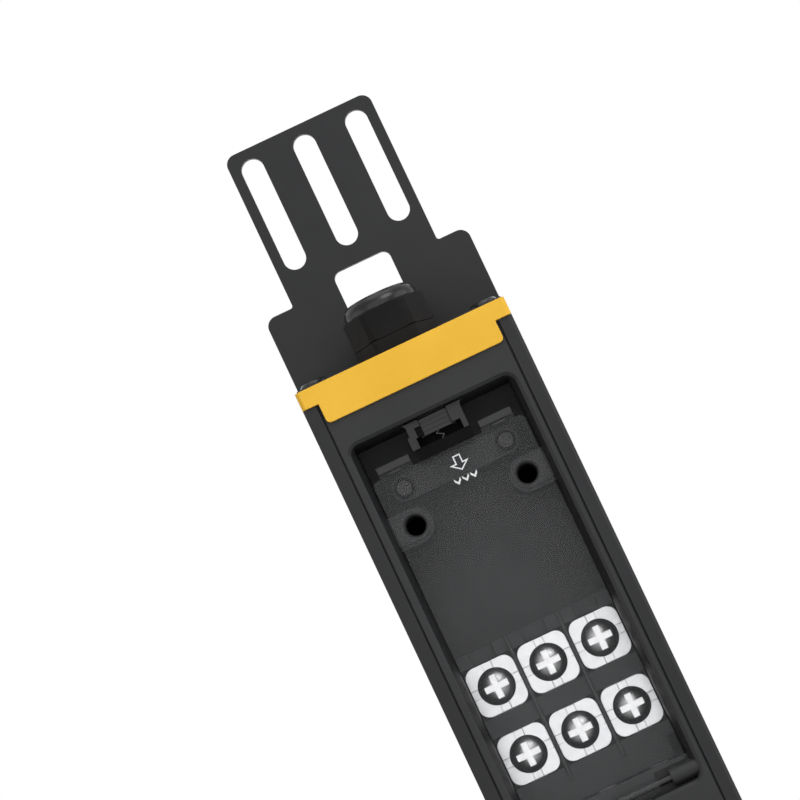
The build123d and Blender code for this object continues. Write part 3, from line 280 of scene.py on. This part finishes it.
def grain(mat, height, strength, depth):
    """Adds a bump from a height value, on top of any bump that is there."""
    nodes, links = mat.node_tree.nodes, mat.node_tree.links
    bump = nodes.new("ShaderNodeBump")
    bump.inputs["Strength"].default_value = strength
    bump.inputs["Distance"].default_value = depth
    normal = shader_of(mat).inputs["Normal"]
    if normal.is_linked:
        links.new(normal.links[0].from_socket, bump.inputs["Normal"])
    links.new(height, bump.inputs["Height"])
    links.new(bump.outputs["Normal"], normal)


def worn_edges(mat):
    """A lighter tone rubbed into the edges, found by comparing the rounded normal with the flat one."""
    nodes, links = mat.node_tree.nodes, mat.node_tree.links
    base = shader_of(mat).inputs["Base Color"]
    under = base.links[0].from_socket
    rounded = nodes.new("ShaderNodeBevel")
    rounded.samples = WORN_SAMPLES
    rounded.inputs["Radius"].default_value = WORN_WIDTH
    flat = nodes.new("ShaderNodeNewGeometry")
    match = nodes.new("ShaderNodeVectorMath")
    match.operation = "DOT_PRODUCT"
    links.new(rounded.outputs["Normal"], match.inputs[0])
    links.new(flat.outputs["Normal"], match.inputs[1])
    mask = nodes.new("ShaderNodeMapRange")
    mask.inputs["From Min"].default_value = WORN_NONE
    mask.inputs["From Max"].default_value = WORN_FULL
    mask.inputs["To Max"].default_value = WORN_AMOUNT
    links.new(match.outputs["Value"], mask.inputs["Value"])
    patchy = nodes.new("ShaderNodeMath")
    patchy.operation = "MULTIPLY"
    links.new(mask.outputs["Result"], patchy.inputs[0])
    links.new(object_noise(mat, WORN_PATCH), patchy.inputs[1])
    mix = nodes.new("ShaderNodeMix")
    mix.data_type = "RGBA"
    links.new(patchy.outputs["Value"], mix.inputs["Factor"])
    links.new(under, mix.inputs["A"])
    mix.inputs["B"].default_value = (*WORN_TONE, 1)
    links.new(mix.outputs["Result"], base)


def powder_coat(name, dark, light):
    """Baked powder paint: fine orange peel, slight gloss changes, rubbed edges."""
    mat = new_material(name, light, roughness=0.5, specular=0.24)
    mottle(mat, dark, light, size=30 * MM)
    worn_edges(mat)
    vary_roughness(mat, low=0.44, high=0.56, size=6 * MM)
    grain(mat, object_noise(mat, size=0.7 * MM, detail=2.0), strength=0.22, depth=0.04 * MM)
    return mat


def moulded(name, dark, light, low, high, texture=0.5 * MM, strength=0.2, specular=0.28):
    """Injection-moulded plastic with a spark-eroded grain."""
    mat = new_material(name, light, roughness=high, specular=specular)
    mottle(mat, dark, light, size=20 * MM)
    vary_roughness(mat, low, high, size=3 * MM)
    grain(mat, object_noise(mat, size=texture, detail=2.0), strength=strength, depth=0.03 * MM)
    grain(mat, object_noise(mat, size=12 * MM, detail=1.0), strength=0.06, depth=0.2 * MM)
    return mat


def metal(name, dark, light, low, high, stretch=(1, 1, 1)):
    """Plated or rolled metal with fine lines along one direction."""
    mat = new_material(name, light, roughness=high, metallic=1.0)
    mottle(mat, dark, light, size=2 * MM, detail=3.0, stretch=stretch)
    vary_roughness(mat, low, high, size=1.5 * MM, stretch=stretch)
    lines = object_noise(mat, size=0.35 * MM, detail=2.0, stretch=stretch)
    grain(mat, lines, strength=0.12, depth=0.02 * MM)
    return mat


def screw_metal():
    """Plated screw heads with painted reflection: painted shade toward the rim, where the dome would
    reflect the dark walls round it, and a painted sheen toward the middle; the recess keeps the plating's
    colour.
    """
    mat = metal("screw plating with painted sheen", dark=(0.70, 0.70, 0.71), light=(0.82, 0.82, 0.83), low=0.24, high=0.36)
    nodes, links = mat.node_tree.nodes, mat.node_tree.links
    base = shader_of(mat).inputs["Base Color"]
    bright = base.links[0].from_socket
    tone = nodes.new("ShaderNodeAttribute")
    tone.attribute_name = SHEEN_ATTRIBUTE
    mix = nodes.new("ShaderNodeMix")
    mix.data_type = "RGBA"
    links.new(tone.outputs["Fac"], mix.inputs["Factor"])
    mix.inputs["A"].default_value = (*HEAD_PAINTED_SHADE, 1)
    links.new(bright, mix.inputs["B"])
    links.new(mix.outputs["Result"], base)
    return mat


def clear_plastic():
    """Clear moulded polycarbonate with a smoky cast; alpha lets the light through to what lies behind."""
    mat = new_material("clear polycarbonate", CLEAR_TONE, roughness=0.35, specular=0.0)
    shader_of(mat).inputs["Alpha"].default_value = CLEAR_ALPHA
    mottle(mat, CLEAR_TONE, tuple(part * CLEAR_SPREAD for part in CLEAR_TONE), size=20 * MM)
    vary_roughness(mat, low=0.3, high=0.4, size=10 * MM)
    return mat


def rubber():
    mat = new_material("seal rubber", (0.02, 0.02, 0.021), roughness=0.7)
    mottle(mat, dark=(0.014, 0.014, 0.015), light=(0.03, 0.03, 0.031), size=4 * MM)
    vary_roughness(mat, low=0.6, high=0.8, size=2 * MM)
    grain(mat, object_noise(mat, size=0.6 * MM), strength=0.3, depth=0.05 * MM)
    return mat


def printed_ink():
    mat = new_material("white print", (0.8, 0.8, 0.8), roughness=0.5)
    mottle(mat, dark=(0.68, 0.68, 0.69), light=(0.82, 0.82, 0.83), size=1 * MM)
    vary_roughness(mat, low=0.42, high=0.6, size=0.8 * MM)
    grain(mat, object_noise(mat, size=0.3 * MM, detail=2.0), strength=0.2, depth=0.02 * MM)
    return mat


FINISHES = {
    "profile": powder_coat(
        "profile powder coat", dark=(0.010, 0.0103, 0.0112), light=(0.014, 0.0145, 0.0155)
    ),
    "bracket": powder_coat(
        "bracket powder coat", dark=(0.0105, 0.011, 0.012), light=(0.0145, 0.015, 0.0162)
    ),
    "cap": moulded(
        "yellow moulding", dark=(0.86, 0.49, 0.045), light=(0.93, 0.54, 0.06),
        low=0.45, high=0.55, specular=0.1,
    ),
    "tray": moulded(
        "black moulding", dark=(0.012, 0.0124, 0.0132), light=(0.0165, 0.017, 0.018), low=0.42, high=0.55
    ),
    "gland": moulded(
        "black nylon", dark=(0.009, 0.009, 0.0095), light=(0.013, 0.013, 0.0138),
        low=0.45, high=0.6, texture=1.2 * MM, strength=0.06, specular=0.06,
    ),
    "crown": moulded(
        "polished nylon", dark=(0.005, 0.005, 0.0055), light=(0.008, 0.008, 0.0085),
        low=0.2, high=0.28, texture=1.2 * MM, strength=0.05, specular=0.3,
    ),
    "latch": moulded(
        "latch plastic", dark=(0.010, 0.010, 0.011), light=(0.015, 0.015, 0.016), low=0.3, high=0.42
    ),
    "block": moulded(
        "terminal plastic", dark=(0.020, 0.0205, 0.0215), light=(0.026, 0.0265, 0.0275), low=0.4, high=0.52
    ),
    "outlet": moulded(
        "outlet plastic", dark=(0.010, 0.010, 0.011), light=(0.015, 0.015, 0.016), low=0.3, high=0.42
    ),
    "carrier": moulded(
        "carrier plastic", dark=(0.09, 0.09, 0.092), light=(0.13, 0.13, 0.132), low=0.45, high=0.6
    ),
    "black screw": moulded(
        "black passivation", dark=(0.008, 0.008, 0.009), light=(0.014, 0.014, 0.015),
        low=0.2, high=0.3, specular=0.35,
    ),
    "zinc": metal(
        "zinc plating", dark=(0.50, 0.50, 0.51), light=(0.66, 0.66, 0.67), low=0.2, high=0.34
    ),
    "nickel": metal(
        "nickel plating", dark=(0.68, 0.685, 0.70), light=(0.76, 0.765, 0.78), low=0.26, high=0.4
    ),
    "brass": metal(
        "rolled brass", dark=(0.62, 0.42, 0.16), light=(0.78, 0.56, 0.25),
        low=0.24, high=0.38, stretch=(6, 6, 1),
    ),
    "tinned": metal(
        "tinned bar", dark=(0.16, 0.16, 0.17), light=(0.24, 0.24, 0.25),
        low=0.4, high=0.55, stretch=(6, 6, 1),
    ),
    "screw head": screw_metal(),
    # Near-black painted shade: put on the screws deep in the towers and on the sunk faces of the latch
    # slot, where shade falls
    "shadow": moulded(
        "painted slot shade", dark=(0.003, 0.003, 0.003), light=(0.005, 0.005, 0.005),
        low=0.6, high=0.75, specular=0.05,
    ),
    "rubber": rubber(),
    "clear": clear_plastic(),
    "print": printed_ink(),
}

OUTLET = "outlet"
FINISH_OF = {
    "body_profile": "profile",
    "end_cap_top": "cap",
    "end_cap_bottom": "cap",
    "bracket_top": "bracket",
    "bracket_bottom": "bracket",
    "end_screws_top": "black screw",
    "end_screws_bottom": "black screw",
    "gland_body": "gland",
    "gland_seal": "rubber",
    "gland_nut": "gland",
    "gland_locknut": "gland",
    "wiring_tray": "tray",
    # The towers' screws are painted near-black as shade in the bores
    "tray_screws": "shadow",
    "wiring_door": "clear",
    "door_latch": "latch",
    "latch_spring": "black screw",
    "hinge_pin": "black screw",
    "cable_clamp": "tray",
    "clamp_screws": "black screw",
    "terminal_block": "block",
    "terminal_washers": "nickel",
    "terminal_screws": "nickel",
    "earth_post": "brass",
    "earth_screw": "zinc",
    "busbar_carrier": "carrier",
    "carrier_screws": "zinc",
    "outlet_panel": "tray",
    "busbar_neutral": "tinned",
    "busbar_earth": "tinned",
    "busbar_live": "tinned",
    "contacts_neutral": "brass",
    "contacts_earth": "brass",
    "contacts_live": "brass",
}

# Edge roundings for the nodes whose edges catch the light
ROUNDING_OF = {
    "body_profile": 0.15 * MM,
    "end_cap_top": 0.3 * MM,
    "end_cap_bottom": 0.3 * MM,
    "bracket_top": 0.2 * MM,
    "bracket_bottom": 0.2 * MM,
    "end_screws_top": 0.15 * MM,
    "end_screws_bottom": 0.15 * MM,
    "gland_body": 0.2 * MM,
    "wiring_tray": 0.12 * MM,
    "door_latch": 0.12 * MM,
    "wiring_door": 0.15 * MM,
    "cable_clamp": 0.2 * MM,
    "terminal_block": 0.12 * MM,
    "terminal_washers": 0.2 * MM,
    "outlet_panel": 0.2 * MM,
}
OUTLET_ROUNDING = 0.2 * MM


def round_edges(piece, width):
    """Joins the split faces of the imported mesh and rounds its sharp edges."""
    weld = piece.modifiers.new("weld", "WELD")
    weld.merge_threshold = WELD_DISTANCE
    merge = piece.modifiers.new("merge flat faces", "DECIMATE")
    merge.decimate_type = "DISSOLVE"
    merge.angle_limit = MERGE_ANGLE
    bevel = piece.modifiers.new("bevel", "BEVEL")
    bevel.width = width
    bevel.segments = BEVEL_SEGMENTS
    bevel.limit_method = "ANGLE"
    bevel.angle_limit = BEVEL_ANGLE
    bevel.use_clamp_overlap = True
    flat = piece.modifiers.new("flat faces stay flat", "WEIGHTED_NORMAL")
    flat.weight = FLAT_WEIGHT
    flat.keep_sharp = False


def dress_nodes():
    """Gives every node of the frame its material and rounds its edges."""
    for name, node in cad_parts.items():
        outlet = name not in FINISH_OF and name.startswith(OUTLET)
        finish = OUTLET if outlet else FINISH_OF[name]
        for place in node.material_slots:
            place.material = FINISHES[finish]
        width = OUTLET_ROUNDING if outlet else ROUNDING_OF.get(name)
        if width:
            round_edges(node, width)


def placed(name, data):
    """A new object in the scene's own collection."""
    thing = bpy.data.objects.new(name, data)
    bpy.context.scene.collection.objects.link(thing)
    return thing


def mesh_data(name, mesh):
    """Mesh data from a bmesh, which is freed."""
    data = bpy.data.meshes.new(name)
    mesh.to_mesh(data)
    mesh.free()
    return data


def piece_from(name, mesh, finish, body):
    """A new object from a bmesh, with its material and body."""
    piece = placed(name, mesh_data(name, mesh))
    piece.data.materials.append(FINISHES[finish])
    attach(piece, body)
    return piece


def shade_smooth(piece, angle):
    for face in piece.data.polygons:
        face.use_smooth = True
    bpy.context.view_layer.objects.active = piece
    piece.select_set(True)
    bpy.ops.object.shade_smooth_by_angle(angle=angle)
    piece.select_set(False)


def outward(mesh):
    """Turns the faces of a closed bmesh outward."""
    bmesh.ops.recalc_face_normals(mesh, faces=mesh.faces)


def band_of_faces(mesh, one, two):
    """Faces between two closed rings that have as many points."""
    for step in range(len(one)):
        after = (step + 1) % len(one)
        mesh.faces.new((one[step], one[after], two[after], two[step]))


def around(segments):
    """The turns of evenly spaced points round a circle."""
    return [2 * pi * step / segments for step in range(segments)]


def lathe(mesh, profile):
    """Turns (radius, height) points about the -Y axis; the ends lie on the axis."""
    rings = []
    for radius, height in profile:
        if radius == 0:
            rings.append([mesh.verts.new((0, -height, 0))])
            continue
        spots = [(radius * cos(t), -height, radius * sin(t)) for t in around(SEGMENTS)]
        rings.append([mesh.verts.new(spot) for spot in spots])
    for lower, upper in zip(rings, rings[1:]):
        for step in range(SEGMENTS):
            after = (step + 1) % SEGMENTS
            corners = [lower[step % len(lower)], lower[after % len(lower)]]
            corners += [upper[after % len(upper)], upper[step % len(upper)]]
            unique = list(dict.fromkeys(corners))
            if len(unique) > 2:
                mesh.faces.new(unique)
    outward(mesh)


def tapered_cross(mesh, length, width, depth, draft, height):
    """A cross recess cutter whose walls close in with depth, its top above height."""
    half, arm = length / 2, width / 2
    outline = [(half, arm), (arm, arm), (arm, half), (-arm, half), (-arm, arm), (-half, arm)]
    outline += [(-x, -z) for x, z in outline]
    rings = []
    for level, inset in ((height + depth, -draft), (height - depth, draft)):
        ring = []
        for x, z in outline:
            move_x = inset if x > 0 else -inset
            move_z = inset if z > 0 else -inset
            ring.append(mesh.verts.new((x - move_x, -level, z - move_z)))
        rings.append(ring)
    upper, lower = rings
    band_of_faces(mesh, upper, lower)
    mesh.faces.new(upper)
    mesh.faces.new(lower[::-1])
    outward(mesh)


def raised(mesh, outline, front_y, back_y):
    """A flat plate with the given (x, z) outline between two depths."""
    front = [mesh.verts.new((x, front_y, z)) for x, z in outline]
    back = [mesh.verts.new((x, back_y, z)) for x, z in outline]
    mesh.faces.new(front)
    mesh.faces.new(back[::-1])
    for step in range(len(outline)):
        after = (step + 1) % len(outline)
        mesh.faces.new((front[step], back[step], back[after], front[after]))


def brick(x, y, z):
    """A box between two values on each axis, as a new bmesh."""
    mesh = bmesh.new()
    (x0, x1), (y0, y1), (z0, z1) = sorted(x), sorted(y), sorted(z)
    raised(mesh, [(x0, z0), (x1, z0), (x1, z1), (x0, z1)], y0, y1)
    outward(mesh)
    return mesh


def carved(body, cutters, joined=()):
    """The first mesh with others joined to it and then others cut away, as a new bmesh."""
    objects = []
    for number, mesh in enumerate((body, *joined, *cutters)):
        name = "carve_" + str(number)
        objects.append(placed(name, mesh_data(name, mesh)))
    for number, other in enumerate(objects[1:]):
        step = objects[0].modifiers.new("step", "BOOLEAN")
        step.operation = "UNION" if number < len(joined) else "DIFFERENCE"
        step.solver = "EXACT"
        step.object = other
    graph = bpy.context.evaluated_depsgraph_get()
    result = bmesh.new()
    result.from_mesh(objects[0].evaluated_get(graph).to_mesh())
    for piece in objects:
        bpy.data.objects.remove(piece)
    return result


def dome_profile(radius, height, rim, shank_r, shank_length):
    """Radius and height pairs from the head's crown round its rim and down the shank."""
    ball = (radius**2 + (height - rim) ** 2) / (2 * (height - rim))
    reach = [radius * (step / HEAD_RINGS) ** HEAD_SPREAD for step in range(HEAD_RINGS + 1)]
    dome = [(r, height - ball + (ball**2 - r**2) ** 0.5) for r in reach]
    return dome + [(radius, 0), (shank_r, 0), (shank_r, -shank_length), (0, -shank_length)]


def paint_head_sheen(piece, middles, seat):
    """Stores a painted sheen at each corner: full in the recess, fading out toward the rim, where the
    colour turns to painted shade.
    """
    painted_sheen = piece.data.attributes.new(SHEEN_ATTRIBUTE, "FLOAT", "CORNER")
    for face in piece.data.polygons:
        x, y, z = face.center
        reach = min((x - a) ** 2 + (z - b) ** 2 for a, b in middles) ** 0.5
        ball = HEAD_H - (HEAD_H - HEAD_RIM) * (reach / HEAD_R) ** 2
        sunk = seat - y < ball - RECESS_EDGE
        for corner in face.loop_indices:
            spot = piece.data.vertices[piece.data.loops[corner].vertex_index].co
            away = min((spot.x - a) ** 2 + (spot.z - b) ** 2 for a, b in middles) ** 0.5 / HEAD_R
            light = HEAD_PAINTED_SHEEN * max(0, 1 - (away / HEAD_SHEEN_FADE) ** 2)
            painted_sheen.data[corner].value = 1 if sunk else light


def terminal_screws():
    """Domed cross-recess screws in place of the plain ones, one clamp screw on each washer."""
    low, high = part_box("terminal_screws")
    washer_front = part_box("terminal_washers")[0].y
    shank = high.y - washer_front
    head = bmesh.new()
    lathe(head, dome_profile(HEAD_R, HEAD_H, HEAD_RIM, SHANK_R, shank))
    cutter = bmesh.new()
    tapered_cross(cutter, RECESS_LENGTH, RECESS_WIDTH, RECESS_DEPTH, RECESS_DRAFT, HEAD_H)
    one_screw = mesh_data("one_screw", carved(head, [cutter]))
    columns = [low.x + HEAD_R, 0, high.x - HEAD_R]
    rows = [low.z + HEAD_R, high.z - HEAD_R]
    middles = [(x, z) for x in columns for z in rows]
    together = bmesh.new()
    for x, z in middles:
        before = len(together.verts)
        together.from_mesh(one_screw)
        together.verts.ensure_lookup_table()
        for vertex in together.verts[before:]:
            vertex.co += Vector((x, washer_front, z))
    piece = piece_from("terminal_screws_domed", together, "screw head", "housing")
    # Paints the reflection into the heads: painted shade at the rim, painted sheen toward the middle
    paint_head_sheen(piece, middles, washer_front)
    shade_smooth(piece, HEAD_SMOOTH)
    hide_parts("terminal_screws")


def nut_section(limit, ribbed, hexagonal):
    """Points round the nut: a hexagon with a flat to the front, its corners turned off at the limit."""
    points = []
    for turn in around(NUT_SEGMENTS):
        within = (turn + pi / 6) % (pi / 3) - pi / 6
        flat = NUT_FLATS / 2 / cos(within)
        radius = min(flat, limit) if hexagonal else limit
        along = NUT_FLATS / 2 * sin(within) / cos(within)
        if ribbed and abs(along) < RIB_REACH:
            radius -= RIB_DEPTH * (1 - cos(2 * pi * along / RIB_PITCH)) / 2
        points.append((radius * sin(turn), -radius * cos(turn)))
    return points


def nut_rows():
    """Radius, height, ribbed or not and hexagonal or not, from the nut's thread round to its foot."""
    rows = [(NUT_THREAD_R, NUT_BASE, False, False), (NUT_THREAD_R, NUT_SHOULDER, False, False)]
    rows += [(NUT_MOUTH_R, NUT_CEILING, False, False), (NUT_MOUTH_R, NUT_TOP - NUT_EDGE, False, False)]
    rows += [(NUT_MOUTH_R + NUT_EDGE, NUT_TOP, False, False)]
    bend = NUT_TOP - NUT_CROWN_R
    for step in range(CROWN_STEPS + 1):
        turn = pi / 2 * (1 - step / CROWN_STEPS)
        reach = NUT_DOME_R - NUT_CROWN_R + NUT_CROWN_R * cos(turn)
        rows.append((reach, bend + NUT_CROWN_R * sin(turn), False, False))
    rows.append((NUT_DOME_R, NUT_HEX_TOP + NUT_EDGE / 2, False, False))
    rows.append((NUT_CHAMFER_R, NUT_HEX_TOP, False, True))
    rows.append((NUT_CORNER_R, NUT_HEX_TOP - 2 * NUT_EDGE, False, True))
    rows += [(NUT_CORNER_R, RIBS_END, False, True), (NUT_CORNER_R, RIBS_FADE, True, True)]
    rows += [(NUT_CORNER_R, RIBS_FULL, True, True), (NUT_CORNER_R, RIBS_START, False, True)]
    rows.append((NUT_CORNER_R, NUT_BASE + NUT_EDGE, False, True))
    rows.append((NUT_CORNER_R - NUT_EDGE, NUT_BASE, False, True))
    return rows


def gland_nut():
    """The dome nut with a polished crown, turned corners and a ribbed grip, in place of the plain one."""
    low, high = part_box("gland_nut")
    middle_x, middle_y = (low.x + high.x) / 2, (low.y + high.y) / 2
    mesh = bmesh.new()
    rings = []
    for limit, height, ribbed, hexagonal in nut_rows():
        section = nut_section(limit, ribbed, hexagonal)
        z = CAP_END + height
        rings.append([mesh.verts.new((middle_x + x, middle_y + y, z)) for x, y in section])
    for number, ring in enumerate(rings):
        band_of_faces(mesh, rings[number - 1], ring)
    outward(mesh)
    piece = piece_from("gland_nut_crowned", mesh, "gland", "gland_nut_body")
    piece.data.materials.append(FINISHES["crown"])
    for face in piece.data.polygons:
        if face.center.z > CAP_END + NUT_HEX_TOP:
            face.material_index = 1
    shade_smooth(piece, NUT_SMOOTH)
    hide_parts("gland_nut")


def latch_frame():
    """The opaque frame round the latch, a shell over the clear carrier with slot, notch and side stub; the
    sunk faces in its slot and the band below carry painted shade.
    """
    top, foot = down(FRAME_TOP), down(FRAME_FOOT)
    shell = brick((-FRAME_HALF, FRAME_HALF), (FRAME_FRONT, FRAME_BACK), (foot, top))
    flare = bmesh.new()
    wide = FRAME_HALF + FRAME_FLARE
    outline = [(-wide, top), (wide, top)]
    turns = [pi / 2 * step / FLARE_STEPS for step in range(FLARE_STEPS + 1)]
    arc = [(wide - FRAME_FLARE * sin(t), top - FRAME_FLARE * (1 - cos(t))) for t in turns]
    outline += arc[1:] + [(-x, z) for x, z in arc[:0:-1]]
    raised(flare, outline, FRAME_FRONT, FLARE_BACK)
    outward(flare)
    stub = brick(STUB_X, (STUB_FRONT, FRAME_STEP), (down(STUB_END), down(STUB_TOP)))
    past = FRAME_FRONT - OVERRUN
    slot_end = down(FRAME_SLOT_END)
    guide = brick((-GUIDE_HALF, GUIDE_HALF), (past, GUIDE_BED), (slot_end, top + OVERRUN))
    wings = brick((-WING_HALF, WING_HALF), (WING_FRONT, GUIDE_BED), (slot_end, top + OVERRUN))
    slot_z = (slot_end, down(FRAME_SLOT_TOP))
    slot = brick((-FRAME_SLOT_HALF, FRAME_SLOT_HALF), (past, GUIDE_BED), slot_z)
    notch = brick((-NOTCH_HALF, 0), (past, FRAME_STEP), (slot_end, down(NOTCH_TOP)))
    band = brick((-wide, wide), (past, FRAME_STEP), (foot - OVERRUN, slot_end))
    mesh = carved(shell, [guide, wings, slot, notch, band], [flare, stub])
    piece = piece_from("latch_frame", mesh, "tray", "door")
    # Sunk faces in the slot and the band under it get the near-black painted shade
    piece.data.materials.append(FINISHES["shadow"])
    for face in piece.data.polygons:
        x, y, z = face.center
        sunk = y > FRAME_FRONT + SUNK_PAST and abs(x) < FRAME_SLOT_HALF
        if sunk and z < down(NOTCH_TOP - OVERRUN):
            face.material_index = 1
    round_edges(piece, FRAME_ROUNDING)


def door_rib_highlights():
    """The ledge and tick on each of the door's two lugs: real raised ribs, in a lighter grey that is
    painted highlight.
    """
    together = bmesh.new()
    for side in (-1, 1):
        for x, drop in ((LUG_X, LUG_DOWN), (TICK_X, TICK_DOWN)):
            rib = brick([side * part for part in x], LUG_Y, [down(part) for part in drop])
            together.from_mesh(mesh_data("rib", rib))
    piece = piece_from("door_rib_highlights", together, "block", "door")
    round_edges(piece, LUG_ROUNDING)


def tower_sleeves():
    """A thin ringed sleeve in each screw tower, above the screw's head."""
    count = int((SLEEVE_BACK - SLEEVE_FRONT) / SLEEVE_PITCH)
    quarter = SLEEVE_PITCH / 4
    inner = SLEEVE_R - SLEEVE_WALL
    profile = [(SLEEVE_R, SLEEVE_BACK), (SLEEVE_R, SLEEVE_FRONT), (inner, SLEEVE_FRONT)]
    for number in range(count):
        start = SLEEVE_FRONT + number * SLEEVE_PITCH + quarter
        profile += [(inner, start), (inner - SLEEVE_RIDGE, start + quarter), (inner, start + 2 * quarter)]
    profile.append((inner, SLEEVE_BACK))
    mesh = bmesh.new()
    z = down(SLEEVE_DOWN)
    for x in (-SLEEVE_X, SLEEVE_X):
        rings = []
        for radius, y in profile:
            spots = [(x + radius * cos(t), y, z + radius * sin(t)) for t in around(SEGMENTS)]
            rings.append([mesh.verts.new(spot) for spot in spots])
        for number, ring in enumerate(rings):
            band_of_faces(mesh, rings[number - 1], ring)
    outward(mesh)
    piece = piece_from("tower_sleeves", mesh, "tray", "housing")
    shade_smooth(piece, SLEEVE_SMOOTH)


def printed_line(mesh, points, front_y, back_y):
    """A raised line of ink along a closed (x, z) outline, inset by the stroke's width."""
    outer, inner = [], []
    for number, point in enumerate(points):
        before, here = Vector(points[number - 1]), Vector(point)
        after = Vector(points[(number + 1) % len(points)])
        one, two = (here - before).normalized(), (after - here).normalized()
        inward = (Vector((-one.y, one.x)) + Vector((-two.y, two.x))).normalized()
        outer.append(here)
        inner.append(here + inward * MARK_STROKE / max(MITRE_LIMIT, inward.dot(Vector((-one.y, one.x)))))
    rings = []
    for line, y in ((outer, front_y), (inner, front_y), (inner, back_y), (outer, back_y)):
        rings.append([mesh.verts.new((spot.x, y, spot.y)) for spot in line])
    for number, ring in enumerate(rings):
        band_of_faces(mesh, rings[number - 1], ring)


def door_mark():
    """A generic printed sign below the latch: an outlined arrow that points down, over three chevrons."""
    front_y, back_y = DOOR_FACE - MARK_THICK, DOOR_FACE
    middle = down(MARK_MIDDLE)
    mesh = bmesh.new()
    stem, half = ARROW_STEM / 2, ARROW_WIDTH / 2
    top, tip = middle + ARROW_HEIGHT / 2, middle - ARROW_HEIGHT / 2
    arrow = [(-stem, top), (-stem, middle), (-half, middle), (0, tip)]
    arrow += [(half, middle), (stem, middle), (stem, top)]
    printed_line(mesh, [(x + MARK_SHIFT, z) for x, z in arrow], front_y, back_y)
    side, z = CHEVRON_WIDTH / 2, middle - CHEVRON_DROP
    for column in (-1, 0, 1):
        x = MARK_SHIFT + column * CHEVRON_PITCH
        chevron = [(x - side, z), (x, z - CHEVRON_HEIGHT), (x + side, z)]
        chevron += [(a, b - CHEVRON_STROKE) for a, b in chevron[::-1]]
        raised(mesh, chevron, front_y, back_y)
    outward(mesh)
    piece_from("door_mark", mesh, "print", "door")


def make_camera():
    data = bpy.data.cameras.new("camera")
    data.sensor_width = SENSOR
    data.lens = LENS
    data.clip_start = CLIP_START
    data.clip_end = CLIP_END
    camera = placed("camera", data)
    along = cos(CAMERA_TILT)
    ahead = Vector((sin(CAMERA_YAW) * along, cos(CAMERA_YAW) * along, sin(CAMERA_TILT)))
    level = Vector((cos(CAMERA_YAW), -sin(CAMERA_YAW), 0))
    top = level.cross(ahead)
    right = level * cos(CAMERA_ROLL) + top * sin(CAMERA_ROLL)
    above = -level * sin(CAMERA_ROLL) + top * cos(CAMERA_ROLL)
    turn = Matrix((right, above, -ahead)).transposed().to_4x4()
    camera.matrix_world = Matrix.Translation(CAMERA_PLACE) @ turn
    bpy.context.scene.camera = camera


def seen_directly(tree):
    """1 for camera, glossy and transmission rays, 0 for the light that falls on surfaces."""
    path = tree.nodes.new("ShaderNodeLightPath")
    total = path.outputs["Is Camera Ray"]
    for name in ("Is Glossy Ray", "Is Transmission Ray"):
        either = tree.nodes.new("ShaderNodeMath")
        either.operation = "MAXIMUM"
        tree.links.new(total, either.inputs[0])
        tree.links.new(path.outputs[name], either.inputs[1])
        total = either.outputs["Value"]
    return total


def make_world():
    """A white backdrop that gives the scene only a little light."""
    world = bpy.data.worlds.new("studio")
    bpy.context.scene.world = world
    world.use_nodes = True
    tree = world.node_tree
    background = tree.nodes["Background"]
    background.inputs["Color"].default_value = WHITE
    level = tree.nodes.new("ShaderNodeMapRange")
    level.inputs["To Min"].default_value = AMBIENT
    level.inputs["To Max"].default_value = BACKDROP
    tree.links.new(seen_directly(tree), level.inputs["Value"])
    tree.links.new(level.outputs["Result"], background.inputs["Strength"])


def make_floor():
    """A pale floor just under the part, lifted where it is seen directly; it keeps the part's shadow."""
    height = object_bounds()[0].z - FLOOR_GAP
    mesh = bmesh.new()
    corners = [(-1, -1), (1, -1), (1, 1), (-1, 1)]
    mesh.faces.new([mesh.verts.new((x * FLOOR_HALF, y * FLOOR_HALF, height)) for x, y in corners])
    floor = placed("floor", mesh_data("floor", mesh))
    mat = new_material("floor", FLOOR_COLOUR, FLOOR_ROUGHNESS)
    shader = shader_of(mat)
    shader.inputs["Emission Color"].default_value = WHITE
    tree = mat.node_tree
    lift = tree.nodes.new("ShaderNodeMath")
    lift.operation = "MULTIPLY"
    lift.inputs[1].default_value = FLOOR_LIFT
    tree.links.new(seen_directly(tree), lift.inputs[0])
    tree.links.new(lift.outputs["Value"], shader.inputs["Emission Strength"])
    floor.data.materials.append(mat)


def lamp(name, place, size, power):
    """A round lamp that the camera doesn't see, aimed at the part."""
    data = bpy.data.lights.new(name, "AREA")
    data.shape = "DISK"
    data.size = size
    data.energy = power
    light = placed(name, data)
    light.location = place
    light.rotation_mode = "QUATERNION"
    light.rotation_quaternion = (LAMP_AIM - Vector(place)).to_track_quat("-Z", "Y")
    light.visible_camera = False


bpy.context.scene.view_settings.view_transform = "Standard"
dress_nodes()
terminal_screws()
gland_nut()
latch_frame()
door_rib_highlights()
tower_sleeves()
door_mark()
make_camera()
make_world()
make_floor()
for lamp_row in LAMPS:
    lamp(*lamp_row)
